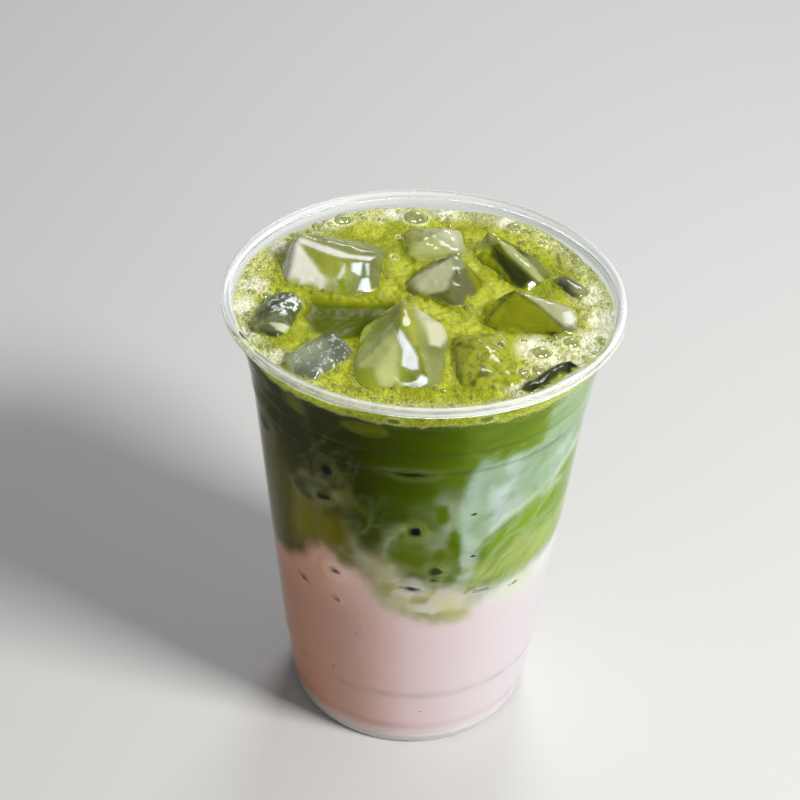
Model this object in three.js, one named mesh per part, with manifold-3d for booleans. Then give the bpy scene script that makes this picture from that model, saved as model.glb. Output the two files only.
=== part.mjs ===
// An iced matcha latte in a clear plastic cold cup: pink milk below, matcha above it,
// a skin of foam on top and a heap of chipped ice that stands out of the foam.
// Millimetres, +Z up, origin at the middle of the foot on the table.

import * as THREE from 'three';
import { ConvexGeometry } from 'three/addons/geometries/ConvexGeometry.js';
import { mergeVertices } from 'three/addons/utils/BufferGeometryUtils.js';
import Module from 'manifold-3d';

// Cup
const cupHeight = 122;
const rimRadius = 49;
const beadRadius = 1.25;
const wallThickness = 0.6;
const footRadius = 30.3;
const footWidth = 2.3;
const footRecess = 1.2;
const floorTop = 2.4;
const roundSteps = 64;

// Outer wall from the foot up to the bead: height and radius. Two small steps stand near the
// foot and two at the stacking shoulder, above which the wall flares.
const wallStops = [
  [0.5, 30.9],
  [1.4, 31.35],
  [6.8, 32.15],
  [7.4, 32.5],
  [19.2, 33.6],
  [20, 34.1],
  [98.2, 41.75],
  [98.8, 42.1],
  [104.3, 42.6],
  [104.9, 42.95],
  [109, 43.8],
  [113.5, 45.2],
  [117, 46.2],
  [118.8, 46.55],
];
const lipStops = [
  [121.1, 46.2],
  [120.5, 45.97],
];

// Notches in the foot ring, as angles from the front, the same again half a turn round
const notchAngles = [-50, 0, 25];
const notchWidth = 1.1;
const notchDepth = 1.2;

// Drink
const clearance = 0.3;
const contentsGap = 0.65;
const meanInterface = 56;
const interfaceTilt = { height: 3, turn: 60 };
const interfaceTongues = { height: 6, turn: 40, count: 3 };
const foamBottom = 113.4;
const foamLevel = 116.9;
const foamWallRise = 0.9;
const foamMounds = [
  { height: 0.4, count: 3, turn: 34 },
  { height: 0.3, count: 7, turn: 120 },
];
const wavyRings = [0.15, 0.3, 0.45, 0.6, 0.75, 0.9];
const milkSideStops = [0.07, 0.28, 0.34, 0.65];
const matchaSideStops = [0.3, 0.65, 0.74, 0.86, 0.94];

// Ice: middle, width and depth where a block leaves the foam, turn about the vertical in
// degrees, depth under the foam, and its highest points in the cup's frame
const iceBlocks = [
  {
    at: [-23, 16], size: [25, 24], turn: -6, sunk: 15,
    peaks: [[-31.5, 19, 124], [-12.8, 16, 121.6]],
  },
  {
    at: [2.2, 28], size: [15, 14], turn: 10, sunk: 11,
    peaks: [[-1, 27, 119.6], [5, 30.5, 120.2]],
  },
  {
    at: [4.8, 9.8], size: [16, 15], turn: -30, sunk: 12,
    peaks: [[7, 16.6, 121.8], [0.5, 11, 119.8]],
  },
  {
    at: [21.4, 20], size: [22, 11.5], turn: -50, sunk: 13,
    peaks: [[15.6, 25.6, 123.4], [25.5, 14.4, 120.2]],
  },
  {
    at: [35.8, 10.2], size: [10, 4.6], turn: -52, sunk: 8,
    peaks: [[34.8, 11, 119.4]],
  },
  {
    at: [25.8, -3.4], size: [22.5, 11.5], turn: -6, sunk: 12,
    peaks: [[21.4, 0.8, 122.2], [34, -3, 120.2]],
  },
  {
    at: [-4.9, -21.8], size: [20.5, 27.5], turn: -4, sunk: 14,
    peaks: [[-5, -9, 124.4], [-4, -19, 125], [4, -14, 121.6]],
  },
  {
    at: [14.8, -22.8], size: [14, 22], turn: 8, sunk: 12,
    peaks: [[13, -17.5, 120.2], [16.4, -24, 120.2]],
  },
  {
    at: [-24.3, -24.2], size: [10.5, 16.6], turn: -38, sunk: 12,
    peaks: [[-20.8, -19.4, 121.4], [-24.8, -23, 120.8]],
  },
  {
    at: [-35.2, -8], size: [9.6, 18], turn: -16, sunk: 11,
    peaks: [[-32, -2, 120.6], [-36, -9.5, 120]],
  },
  {
    at: [29.4, -28.6], size: [18, 3.6], turn: 46, sunk: 8,
    peaks: [[31.4, -26.4, 119.2]],
  },
];
const iceTaper = 0.66;
const iceShoulder = 0.86;
const shoulderRise = 1.6;
const leastChip = 0.15;
const mostChip = 0.48;
// How far the nearest face of a block lies from its middle, as a share of its shorter side
const nearestFace = 0.385;

const wasm = await Module();
wasm.setup();

const degrees = THREE.MathUtils.degToRad;
const up = new THREE.Vector3(0, 0, 1);

const finishes = {
  plastic: { color: 0xdfe6e8, roughness: 0.12, transparent: true, opacity: 0.35 },
  milk: { color: 0xe8cfca, roughness: 0.35 },
  matcha: { color: 0x5d7d14, roughness: 0.3 },
  foam: { color: 0xb9bf3f, roughness: 0.55 },
  ice: { color: 0xc9d6bc, roughness: 0.15 },
};

// Radius of the outer wall at a height, on straight lines between its stops
function outerRadius(z) {
  const last = wallStops.length - 1;
  if (z <= wallStops[0][0]) return wallStops[0][1];
  if (z >= wallStops[last][0]) return wallStops[last][1];
  const upper = wallStops.findIndex(([height]) => height >= z);
  const [z0, r0] = wallStops[upper - 1];
  const [z1, r1] = wallStops[upper];
  return THREE.MathUtils.mapLinear(z, z0, z1, r0, r1);
}

const contentsRadius = (z) => outerRadius(z) - wallThickness - contentsGap;

// A closed mesh as a solid for cutting, and a solid back as a mesh
function toSolid(geometry) {
  const bare = geometry.clone();
  bare.deleteAttribute('normal');
  bare.deleteAttribute('uv');
  const merged = mergeVertices(bare, 1e-3);
  const vertProperties = new Float32Array(merged.attributes.position.array);
  const triVerts = new Uint32Array(merged.index.array);
  return new wasm.Manifold(new wasm.Mesh({ numProp: 3, vertProperties, triVerts }));
}

function toGeometry(solid) {
  const mesh = solid.getMesh();
  const geometry = new THREE.BufferGeometry();
  geometry.setAttribute('position', new THREE.BufferAttribute(mesh.vertProperties, 3));
  geometry.setIndex(new THREE.BufferAttribute(mesh.triVerts, 1));
  geometry.computeVertexNormals();
  return geometry;
}

function namedMesh(name, geometry, finish) {
  const material = new THREE.MeshStandardMaterial({ ...finish, metalness: 0 });
  const mesh = new THREE.Mesh(geometry, material);
  mesh.name = name;
  return mesh;
}

// The same draws each run
function seededRandom(seed) {
  let state = seed * 7919 + 17;
  return () => {
    state = (state * 16807) % 2147483647;
    return state / 2147483647;
  };
}

// Spun from a section that closes on itself: foot, outer wall, rolled bead, inner wall, floor
function cupShell() {
  const beadHeight = cupHeight - beadRadius;
  const beadMiddle = rimRadius - beadRadius;
  const beadStart = -130;
  const beadEnd = 140;
  const beadSteps = 9;
  const section = [
    [footRadius - footWidth, 0],
    [footRadius, 0],
    ...wallStops.map(([z, radius]) => [radius, z]),
  ];
  for (let step = 0; step <= beadSteps; step += 1) {
    const angle = degrees(THREE.MathUtils.lerp(beadStart, beadEnd, step / beadSteps));
    section.push([
      beadMiddle + beadRadius * Math.cos(angle),
      beadHeight + beadRadius * Math.sin(angle),
    ]);
  }
  lipStops.forEach(([z, radius]) => section.push([radius, z]));
  for (const [z, radius] of wallStops.toReversed()) {
    if (z > floorTop) section.push([radius - wallThickness, z]);
  }
  section.push([outerRadius(floorTop) - wallThickness, floorTop]);
  section.push([0, floorTop]);
  section.push([0, footRecess]);
  section.push([footRadius - footWidth - footRecess, footRecess]);
  section.push(section[0]);
  const points = section.map(([radius, z]) => new THREE.Vector2(radius, z));
  return new THREE.LatheGeometry(points, roundSteps).rotateX(Math.PI / 2);
}

function footNotch(angle) {
  const notch = new THREE.BoxGeometry(notchWidth, footWidth * 3, notchDepth * 2);
  const side = degrees(angle - 90);
  notch.rotateZ(side + Math.PI / 2);
  return notch.translate(footRadius * Math.cos(side), footRadius * Math.sin(side), 0);
}

function cup() {
  let solid = toSolid(cupShell());
  for (const angle of notchAngles) {
    solid = solid.subtract(toSolid(footNotch(angle)));
    solid = solid.subtract(toSolid(footNotch(angle + 180)));
  }
  return namedMesh('cup', toGeometry(solid), finishes.plastic);
}

// Height of the wavy line between milk and matcha: highest at the left of the front, with a
// long tongue of matcha hanging down right of the front
function interfaceHeight(turn, share) {
  const tilt = interfaceTilt.height * Math.cos(turn + degrees(interfaceTilt.turn));
  const { height, count } = interfaceTongues;
  const tongues = height * Math.cos(count * (turn + degrees(interfaceTongues.turn)));
  return meanInterface + (tilt + tongues) * share;
}

// The foam stands a little higher at the wall and lies in soft mounds
function foamHeight(turn, share) {
  let rise = foamWallRise * share;
  for (const mound of foamMounds) {
    rise += mound.height * Math.sin(mound.count * turn + degrees(mound.turn));
  }
  return foamLevel + rise * share;
}

// A layer that fills the cup between two surfaces. Heights are given by the turn from the
// front and by the share of the way out to the wall, sideStops are shares of the height and
// the rings are the shares where a wavy face has points.
function layer({ bottomAt, topAt, sideStops = [], bottomRings = [], topRings = [] }) {
  const outline = [[0, 0]];
  bottomRings.forEach((share) => outline.push([share, 0]));
  [0, ...sideStops, 1].forEach((rise) => outline.push([1, rise]));
  topRings.toReversed().forEach((share) => outline.push([share, 1]));
  outline.push([0, 1]);
  const points = outline.map(([share, rise]) => new THREE.Vector2(share, rise));
  const geometry = new THREE.LatheGeometry(points, roundSteps).rotateX(Math.PI / 2);
  const position = geometry.attributes.position;
  for (let i = 0; i < position.count; i += 1) {
    const share = Math.hypot(position.getX(i), position.getY(i));
    const rise = position.getZ(i);
    const side = Math.atan2(position.getY(i), position.getX(i));
    const turn = share < 1e-6 ? 0 : side + Math.PI / 2;
    const z = THREE.MathUtils.lerp(bottomAt(turn, share), topAt(turn, share), rise);
    const edge = THREE.MathUtils.lerp(bottomAt(turn, 1), topAt(turn, 1), rise);
    const radius = share * contentsRadius(edge);
    position.setXYZ(i, radius * Math.cos(side), radius * Math.sin(side), z);
  }
  geometry.deleteAttribute('normal');
  geometry.deleteAttribute('uv');
  return geometry;
}

// One level of a block: a turned rectangle with each corner broken off
function chippedLevel(block, share, z, random) {
  const [halfWidth, halfDepth] = block.size.map((side) => (side * share) / 2);
  const turn = degrees(block.turn);
  const level = [];
  for (const [sx, sy] of [[-1, -1], [1, -1], [1, 1], [-1, 1]]) {
    for (const along of [0, 1]) {
      const chip = 1 - THREE.MathUtils.lerp(leastChip, mostChip, random());
      const x = sx * halfWidth * (along ? chip : 1);
      const y = sy * halfDepth * (along ? 1 : chip);
      const point = new THREE.Vector3(x, y, z).applyAxisAngle(up, turn);
      level.push(point.add(new THREE.Vector3(...block.at, 0)));
    }
  }
  return level;
}

// A chipped block stands in the foam on a narrower sunk end, with its peaks above
function iceGeometry(block, index) {
  const random = seededRandom(index + 3);
  const points = [
    ...chippedLevel(block, iceTaper, foamLevel - block.sunk, random),
    ...chippedLevel(block, 1, foamLevel, random),
    ...chippedLevel(block, iceShoulder, foamLevel + shoulderRise, random),
    ...block.peaks.map((peak) => new THREE.Vector3(...peak)),
  ];
  return new ConvexGeometry(points);
}

function iceBlock(block, index) {
  const name = `ice_${String(index + 1).padStart(2, '0')}`;
  const middle = new THREE.Vector3(...block.at, foamLevel - block.sunk / 2);
  const geometry = iceGeometry(block, index).translate(...middle.clone().negate());
  const mesh = namedMesh(name, geometry, finishes.ice);
  mesh.position.copy(middle);
  mesh.updateMatrix();
  return mesh;
}

// The ice with the clearance round it, which is cut out of the drink
function iceRoom(mesh, block) {
  const grow = 1 + clearance / (nearestFace * Math.min(...block.size));
  const room = mesh.geometry.clone().scale(grow, grow, grow);
  return toSolid(room.applyMatrix4(mesh.matrix));
}

// Cut round every block, without the loose scraps that a cut can leave
function cutRound(geometry, rooms) {
  let solid = toSolid(geometry);
  rooms.forEach((room) => {
    solid = solid.subtract(room);
  });
  const pieces = solid.decompose();
  pieces.sort((a, b) => b.volume() - a.volume());
  return toGeometry(pieces[0]);
}

const ice = iceBlocks.map(iceBlock);
const rooms = ice.map((mesh, index) => iceRoom(mesh, iceBlocks[index]));

const milkLayer = layer({
  bottomAt: () => floorTop + clearance,
  topAt: interfaceHeight,
  sideStops: milkSideStops,
  topRings: wavyRings,
});
const matchaLayer = layer({
  bottomAt: (turn, share) => interfaceHeight(turn, share) + clearance,
  topAt: () => foamBottom,
  sideStops: matchaSideStops,
  bottomRings: wavyRings,
});
const foamLayer = layer({
  bottomAt: () => foamBottom + clearance,
  topAt: foamHeight,
  topRings: wavyRings,
});

const group = new THREE.Group();
group.add(cup());
group.add(namedMesh('milk_layer', milkLayer, finishes.milk));
group.add(namedMesh('matcha_layer', cutRound(matchaLayer, rooms), finishes.matcha));
group.add(namedMesh('foam_layer', cutRound(foamLayer, rooms), finishes.foam));
ice.forEach((mesh) => group.add(mesh));

export default group;
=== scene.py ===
import math

import bmesh
import bpy
import numpy as np
from mathutils import Matrix, Vector
from mathutils.bvhtree import BVHTree


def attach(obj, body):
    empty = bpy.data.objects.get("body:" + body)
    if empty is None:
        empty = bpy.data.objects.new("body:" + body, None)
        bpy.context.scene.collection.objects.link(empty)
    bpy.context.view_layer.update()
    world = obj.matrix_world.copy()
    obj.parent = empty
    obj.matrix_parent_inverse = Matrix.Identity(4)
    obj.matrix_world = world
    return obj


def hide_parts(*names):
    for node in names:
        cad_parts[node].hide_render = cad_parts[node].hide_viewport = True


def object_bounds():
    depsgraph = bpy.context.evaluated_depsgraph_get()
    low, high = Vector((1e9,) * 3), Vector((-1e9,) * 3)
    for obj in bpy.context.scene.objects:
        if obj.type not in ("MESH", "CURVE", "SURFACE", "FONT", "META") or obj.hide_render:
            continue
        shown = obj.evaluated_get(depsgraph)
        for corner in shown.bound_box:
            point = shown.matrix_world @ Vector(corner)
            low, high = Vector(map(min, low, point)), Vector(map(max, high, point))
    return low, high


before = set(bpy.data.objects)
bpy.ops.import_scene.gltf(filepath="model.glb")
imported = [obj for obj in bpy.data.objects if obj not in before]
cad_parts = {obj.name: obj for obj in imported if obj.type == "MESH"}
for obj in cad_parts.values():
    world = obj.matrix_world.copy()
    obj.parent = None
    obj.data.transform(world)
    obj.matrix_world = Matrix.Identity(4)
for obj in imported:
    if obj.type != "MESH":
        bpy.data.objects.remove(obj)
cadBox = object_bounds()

mm = 0.001


# Small helpers: colours, soft steps and a seeded noise, all in millimetres
def linear(colour):
    share = np.array(colour, float) / 255
    return np.where(share <= 0.04045, share / 12.92, ((share + 0.055) / 1.055) ** 2.4)


def soft(low, high, value):
    share = np.clip((value - low) / (high - low), 0, 1)
    return share * share * (3 - 2 * share)


def noise(points, size, seed):
    place = np.asarray(points, float) / size + seed * 17.31
    cell = np.floor(place).astype(np.int64)
    part = place - cell
    part = part * part * (3 - 2 * part)
    total = np.zeros(len(place))
    for corner in range(8):
        step = np.array([corner & 1, corner >> 1 & 1, corner >> 2 & 1])
        at = cell + step
        code = at[:, 0] * 374761393 + at[:, 1] * 668265263 + at[:, 2] * 1440662683 + seed * 1013904223
        code = (code ^ (code >> 13)) * 1274126177
        code = (code ^ (code >> 16)) & 65535
        total += np.prod(np.where(step, part, 1 - part), axis=1) * code / 65535
    return total


def cloudy(points, size, seed, octaves=3):
    total, weight = np.zeros(len(points)), 0
    for octave in range(octaves):
        total += noise(points, size / 2 ** octave, seed + 31 * octave) / 2 ** octave
        weight += 1 / 2 ** octave
    return total / weight


def blend(under, over, share):
    return under + (over - under) * np.asarray(share)[:, None]


# One at a middle, falling off over a width on both sides
def hump(value, middle, width):
    return np.exp(-((value - middle) / width) ** 2)


# Distance from an upright line
def reachOf(points, x=0, y=0):
    return np.hypot(points[:, 0] - x, points[:, 1] - y)


# Mesh helpers
def meshObject(name, mesh):
    thing = bpy.data.objects.new(name, mesh)
    bpy.context.scene.collection.objects.link(thing)
    return thing


def meshFrom(name, points, faces):
    mesh = bpy.data.meshes.new(name)
    mesh.from_pydata((np.asarray(points) * mm).tolist(), [], faces)
    mesh.update()
    return mesh


def pointsOf(mesh):
    flat = np.zeros(len(mesh.vertices) * 3, np.float32)
    mesh.vertices.foreach_get("co", flat)
    return flat.reshape(-1, 3).astype(float) / mm


def movePoints(mesh, points):
    mesh.vertices.foreach_set("co", (np.asarray(points) * mm).astype(np.float32).ravel())
    mesh.update()


def normalsOf(mesh):
    flat = np.zeros(len(mesh.vertices) * 3, np.float32)
    mesh.vertex_normals.foreach_get("vector", flat)
    return flat.reshape(-1, 3).astype(float)


def treeOf(mesh):
    return BVHTree.FromPolygons([v.co / mm for v in mesh.vertices], [p.vertices for p in mesh.polygons])


def paint(mesh, name, colours):
    colours = np.asarray(colours, np.float32)
    if colours.ndim == 1:
        layer = mesh.attributes.new(name, "FLOAT", "POINT")
        layer.data.foreach_set("value", colours)
        return
    if colours.shape[1] == 3:
        colours = np.hstack([colours, np.ones((len(colours), 1), np.float32)])
    layer = mesh.attributes.new(name, "FLOAT_COLOR", "POINT")
    layer.data.foreach_set("color", colours.ravel())


# Rings of points, the first and last of them single points, joined into one closed skin
def ringFaces(ringCount, steps):
    faces = []
    first = lambda ring: 1 + (ring - 1) * steps
    last = 1 + (ringCount - 2) * steps
    for step in range(steps):
        after = (step + 1) % steps
        faces.append((0, first(1) + after, first(1) + step))
        faces.append((last, first(ringCount - 2) + step, first(ringCount - 2) + after))
    for ring in range(1, ringCount - 2):
        low, high = first(ring), first(ring + 1)
        for step in range(steps):
            after = (step + 1) % steps
            faces.append((low + step, low + after, high + after, high + step))
    return faces


def outward(mesh):
    work = bmesh.new()
    work.from_mesh(mesh)
    if work.calc_volume(signed=True) < 0:
        bmesh.ops.reverse_faces(work, faces=work.faces)
    work.to_mesh(mesh)
    work.free()


def smoothed(mesh, sharpAngle):
    mesh.shade_smooth()
    mesh.set_sharp_from_angle(angle=math.radians(sharpAngle))


# The plain mesh of an object with live modifiers, and the object goes
def settle(source, name):
    bpy.context.view_layer.update()
    graph = bpy.context.evaluated_depsgraph_get()
    mesh = bpy.data.meshes.new_from_object(source.evaluated_get(graph))
    mesh.name = name
    bpy.data.objects.remove(source)
    return mesh


def cutAway(mesh, cutter, name):
    body = meshObject(name, mesh)
    tool = meshObject(name + "Cutter", cutter)
    cut = body.modifiers.new("cut", "BOOLEAN")
    cut.operation, cut.solver, cut.object = "DIFFERENCE", "MANIFOLD", tool
    result = settle(body, name)
    bpy.data.objects.remove(tool)
    return result


def addPiece(name, mesh, material, nodes):
    mesh.materials.clear()
    mesh.materials.append(material)
    thing = meshObject(name, mesh)
    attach(thing, "root")
    if nodes:
        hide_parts(*nodes)
    return thing


# Node helper: nodes by kind, with their inputs set or linked by name
class Nodes:
    def __init__(self, tree):
        self.tree = tree

    def add(self, kind, **values):
        node = self.tree.nodes.new(kind)
        for key, value in values.items():
            setattr(node, key, value)
        return node

    def put(self, node, socket, value):
        target = node.inputs[socket]
        if isinstance(value, bpy.types.NodeSocket):
            self.tree.links.new(value, target)
        else:
            target.default_value = value

    def fill(self, node, **values):
        for key, value in values.items():
            self.put(node, key.replace("_", " "), value)
        return node

    def node(self, kind, **values):
        return self.fill(self.add(kind), **values)

    def math(self, operation, *terms):
        node = self.add("ShaderNodeMath", operation=operation)
        for socket, value in enumerate(terms):
            self.put(node, socket, value)
        return node.outputs[0]


class Shader(Nodes):
    def __init__(self, name):
        self.material = bpy.data.materials.new(name)
        self.material.use_nodes = True
        super().__init__(self.material.node_tree)
        self.tree.nodes.clear()
        self.out = self.add("ShaderNodeOutputMaterial")

    def attribute(self, name, output):
        return self.add("ShaderNodeAttribute", attribute_name=name).outputs[output]

    def spot(self):
        return self.add("ShaderNodeTexCoord").outputs["Object"]

    def mix(self, share, first, second):
        node = self.add("ShaderNodeMixShader")
        for socket, value in enumerate((share, first, second)):
            self.put(node, socket, value)
        return node.outputs[0]

    def surface(self, kind, **values):
        return self.node("ShaderNodeBsdf" + kind, **values).outputs[0]

    # A colour darkened or lightened by one level
    def shaded(self, tint, level):
        grey = self.node("ShaderNodeCombineColor", Red=level, Green=level, Blue=level)
        node = self.add("ShaderNodeMix", data_type="RGBA", blend_type="MULTIPLY")
        for socket, value in ((0, 1.0), (6, tint), (7, grey.outputs[0])):
            self.put(node, socket, value)
        return node.outputs[2]

    def finish(self, shader):
        self.put(self.out, "Surface", shader)
        return self.material


# Geometry Nodes helper: a geometry and named values in, a geometry with its material out
class Growth(Nodes):
    def __init__(self, name, inputs):
        super().__init__(bpy.data.node_groups.new(name, "GeometryNodeTree"))
        face, self.sockets = self.tree.interface, {}
        for label, kind in {"Geometry": "Geometry", **inputs, "Material": "Material"}.items():
            socket = face.new_socket(label, in_out="INPUT", socket_type="NodeSocket" + kind)
            self.sockets[label] = socket.identifier
        face.new_socket("Geometry", in_out="OUTPUT", socket_type="NodeSocketGeometry")
        self.given = self.add("NodeGroupInput").outputs

    def finish(self, geometry):
        realized = self.node("GeometryNodeRealizeInstances", Geometry=geometry).outputs[0]
        dressed = self.node("GeometryNodeSetMaterial", Geometry=realized, Material=self.given["Material"])
        self.put(self.add("NodeGroupOutput"), 0, dressed.outputs[0])
        return self

    # The plain mesh that the tree makes of a holder, which goes
    def grow(self, holder, name, values):
        modifier = holder.modifiers.new("growth", "NODES")
        modifier.node_group = self.tree
        for label, value in values.items():
            modifier[self.sockets[label]] = value
        return settle(holder, name)


def rgba(colour):
    return (*[float(x) for x in linear(colour)], 1.0)


# The cup's section, as in the CAD
cup = {
    "steps": 240,
    "wall": 0.6,
    "intoWall": 0.25,
    "stops": [
        (0.5, 30.9), (1.4, 31.35), (6.8, 32.15), (7.4, 32.5), (19.2, 33.6), (20, 34.1), (98.2, 41.75),
        (98.8, 42.1), (104.3, 42.6), (104.9, 42.95), (109, 43.8), (113.5, 45.2), (117, 46.2),
        (118.8, 46.55),
    ],
    "bead": {"middle": (47.75, 120.75), "radius": 1.23, "start": -130, "end": 140, "steps": 22},
    "lip": [(121.1, 46.2), (120.5, 45.97)],
    "foot": {"radius": 30.3, "width": 2.3, "recess": 1.2, "floor": 2.4},
    "notches": {"angles": [-50, 0, 25, 130, 180, 205], "width": 1.1, "depth": 1.2},
    "roughness": 0.04,
    "tint": (246, 249, 249),
    "mirror": 1.1,
    "hazeAndSheen": {
        "rim": 0.34, "rimFrom": (118.4, 119.6), "bands": 0.3, "bandCount": 5,
        "foot": 0.7, "footFrom": (2.6, 1.5), "tint": (248, 248, 250), "roughness": 0.16, "mirror": 1.49,
    },
}
stopHeights = [z for z, r in cup["stops"]]
stopRadii = [r for z, r in cup["stops"]]


def outerRadius(z):
    return np.interp(z, stopHeights, stopRadii)


def contentsRadius(z):
    return outerRadius(z) - cup["wall"] + cup["intoWall"]


# Corners of a section are rounded by a short curve, so that its steps catch the light
def roundedSection(corners, reach):
    section = [corners[0]]
    for before, at, after in zip(corners, corners[1:], corners[2:]):
        before, at, after = (np.array(p, float) for p in (before, at, after))
        inLength, outLength = np.linalg.norm(at - before), np.linalg.norm(after - at)
        start = at + (before - at) * min(0.45, reach / inLength)
        end = at + (after - at) * min(0.45, reach / outLength)
        for share in (0.0, 0.5, 1.0):
            place = (1 - share) ** 2 * start + 2 * share * (1 - share) * at + share ** 2 * end
            section.append(tuple(place))
    section.append(corners[-1])
    return section


def cupSection():
    foot, bead = cup["foot"], cup["bead"]
    under = [(0, foot["recess"]), (foot["radius"] - foot["width"] - foot["recess"], foot["recess"])]
    under += [(foot["radius"] - foot["width"], 0), (foot["radius"], 0)]
    outside = [(r, z) for z, r in cup["stops"]]
    inside = [(r - cup["wall"], z) for z, r in reversed(cup["stops"]) if z > foot["floor"]]
    inside += [(float(outerRadius(foot["floor"])) - cup["wall"], foot["floor"]), (0, foot["floor"])]
    turns = np.radians(np.linspace(bead["start"], bead["end"], bead["steps"] + 1))
    middle = np.array(bead["middle"])
    roll = [tuple(middle + bead["radius"] * np.array([math.cos(t), math.sin(t)])) for t in turns]
    lip = [(r, z) for z, r in cup["lip"]]
    outer = roundedSection(under + outside + roll[:1], 0.3)[:-1]
    inner = roundedSection(roll[-1:] + lip + inside, 0.3)[1:]
    return np.array(outer + roll + inner)


# Geometry Nodes: a section is spun round the upright axis
def spinTree():
    spin = Growth("spinSection", {"Steps": "Int"})
    geometry, steps = spin.given["Geometry"], spin.given["Steps"]
    count = spin.node("GeometryNodeAttributeDomainSize", Geometry=geometry).outputs["Point Count"]
    grid = spin.node("GeometryNodeMeshGrid", Vertices_X=count, Vertices_Y=spin.math("ADD", steps, 1))
    spot = spin.add("GeometryNodeInputPosition").outputs[0]
    parts = spin.node("ShaderNodeSeparateXYZ", Vector=spot).outputs
    along = spin.math("MULTIPLY", spin.math("ADD", parts["X"], 0.5), spin.math("SUBTRACT", count, 1))
    angle = spin.math("MULTIPLY", spin.math("ADD", parts["Y"], 0.5), 2 * math.pi)
    sample = spin.add("GeometryNodeSampleIndex", data_type="FLOAT_VECTOR")
    spin.fill(sample, Geometry=geometry, Value=spot, Index=spin.math("ROUND", along))
    corner = spin.node("ShaderNodeSeparateXYZ", Vector=sample.outputs[0]).outputs
    sideways = spin.math("MULTIPLY", corner["X"], spin.math("SINE", angle))
    forward = spin.math("MULTIPLY", spin.math("MULTIPLY", corner["X"], -1), spin.math("COSINE", angle))
    joined = spin.node("ShaderNodeCombineXYZ", X=sideways, Y=forward, Z=corner["Z"]).outputs[0]
    place = spin.node("GeometryNodeSetPosition", Geometry=grid.outputs["Mesh"], Position=joined)
    weld = spin.node("GeometryNodeMergeByDistance", Geometry=place.outputs[0], Distance=2e-6)
    return spin.finish(weld.outputs[0])


def notchCutter():
    notch, foot = cup["notches"], cup["foot"]
    shape = Matrix.Diagonal((notch["width"], foot["width"] * 3, notch["depth"] * 2, 1))
    work = bmesh.new()
    for angle in notch["angles"]:
        side = math.radians(angle)
        place = Matrix.Translation(Vector((math.sin(side), -math.cos(side), 0)) * foot["radius"])
        bmesh.ops.create_cube(work, size=1, matrix=place @ Matrix.Rotation(side, 4, "Z") @ shape)
    cutter = bpy.data.meshes.new("notches")
    work.to_mesh(cutter)
    work.free()
    cutter.transform(Matrix.Scale(mm, 4))
    return cutter


def plasticMaterial():
    shader, cloud = Shader("clearPlastic"), cup["hazeAndSheen"]
    glass = shader.surface("Principled", Base_Color=rgba(cup["tint"]), Roughness=cup["roughness"],
                           IOR=cup["mirror"], Transmission_Weight=1.0)
    # the white share is partly the plastic's cloudiness and partly painted reflection on the rim and foot
    white = shader.surface("Principled", Base_Color=rgba(cloud["tint"]), Roughness=cloud["roughness"],
                           IOR=cloud["mirror"])
    hazeAndSheen = shader.attribute("hazeAndSheen", "Fac")
    clear = shader.surface("Transparent", Color=rgba(cup["tint"]))
    path = shader.add("ShaderNodeLightPath").outputs
    passing = shader.math("MAXIMUM", path["Is Shadow Ray"], path["Is Diffuse Ray"])
    passing = shader.math("MULTIPLY", passing, shader.math("SUBTRACT", 1.0, hazeAndSheen))
    return shader.finish(shader.mix(passing, shader.mix(hazeAndSheen, glass, white), clear))


# The thick rolled rim and the foot are painted whitish, in bands round the rim: partly cloudy plastic, partly
# painted reflection
def hazeAndSheenOf(points):
    hazeAndSheen, (beadRadius, beadHeight) = cup["hazeAndSheen"], cup["bead"]["middle"]
    around = np.arctan2(points[:, 2] - beadHeight, reachOf(points) - beadRadius)
    banded = hazeAndSheen["rim"] + hazeAndSheen["bands"] * np.cos(hazeAndSheen["bandCount"] * around)
    rim = soft(*hazeAndSheen["rimFrom"], points[:, 2]) * banded
    foot = soft(*hazeAndSheen["footFrom"], points[:, 2]) * hazeAndSheen["foot"]
    return np.clip(rim + foot, 0, 1)


def buildCup():
    section = cupSection()
    line = bpy.data.meshes.new("section")
    edges = [(i, i + 1) for i in range(len(section) - 1)]
    line.from_pydata([(r * mm, 0, z * mm) for r, z in section], edges, [])
    material = plasticMaterial()
    values = {"Steps": cup["steps"], "Material": material}
    mesh = spinTree().grow(meshObject("cupSection", line), "cupClear", values)
    outward(mesh)
    mesh = cutAway(mesh, notchCutter(), "cupClear")
    paint(mesh, "hazeAndSheen", hazeAndSheenOf(pointsOf(mesh)))
    smoothed(mesh, 50)
    addPiece("cupClear", mesh, material, ["cup"])
    print("stage cup", len(mesh.polygons))


buildCup()


# Heights of the drink, as in the CAD: turn is the angle from the front, share the way out to the wall
drink = {
    "floor": 2.15, "foamBottom": 113.4, "foamLevel": 116.9, "steps": 480, "matchaRings": 104,
    "pocketDepth": 11, "bend": 1.34,
    "interface": {"mean": 56, "tilt": (3, 60), "tongues": (6, 40, 3)},
    "mounds": {"wallRise": 0.9, "waves": [(0.4, 3, 34), (0.3, 7, 120)]},
}


def interfaceHeight(turn, share):
    tilt, tiltTurn = drink["interface"]["tilt"]
    tongue, tongueTurn, count = drink["interface"]["tongues"]
    wave = tilt * np.cos(turn + math.radians(tiltTurn))
    wave = wave + tongue * np.cos(count * (turn + math.radians(tongueTurn)))
    return drink["interface"]["mean"] + wave * share


def foamHeight(turn, share):
    rise = drink["mounds"]["wallRise"] * share
    for height, count, shift in drink["mounds"]["waves"]:
        rise = rise + height * np.sin(count * turn + math.radians(shift))
    return drink["foamLevel"] + rise * share


def turnOf(points):
    return np.arctan2(points[:, 0], -points[:, 1])
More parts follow.
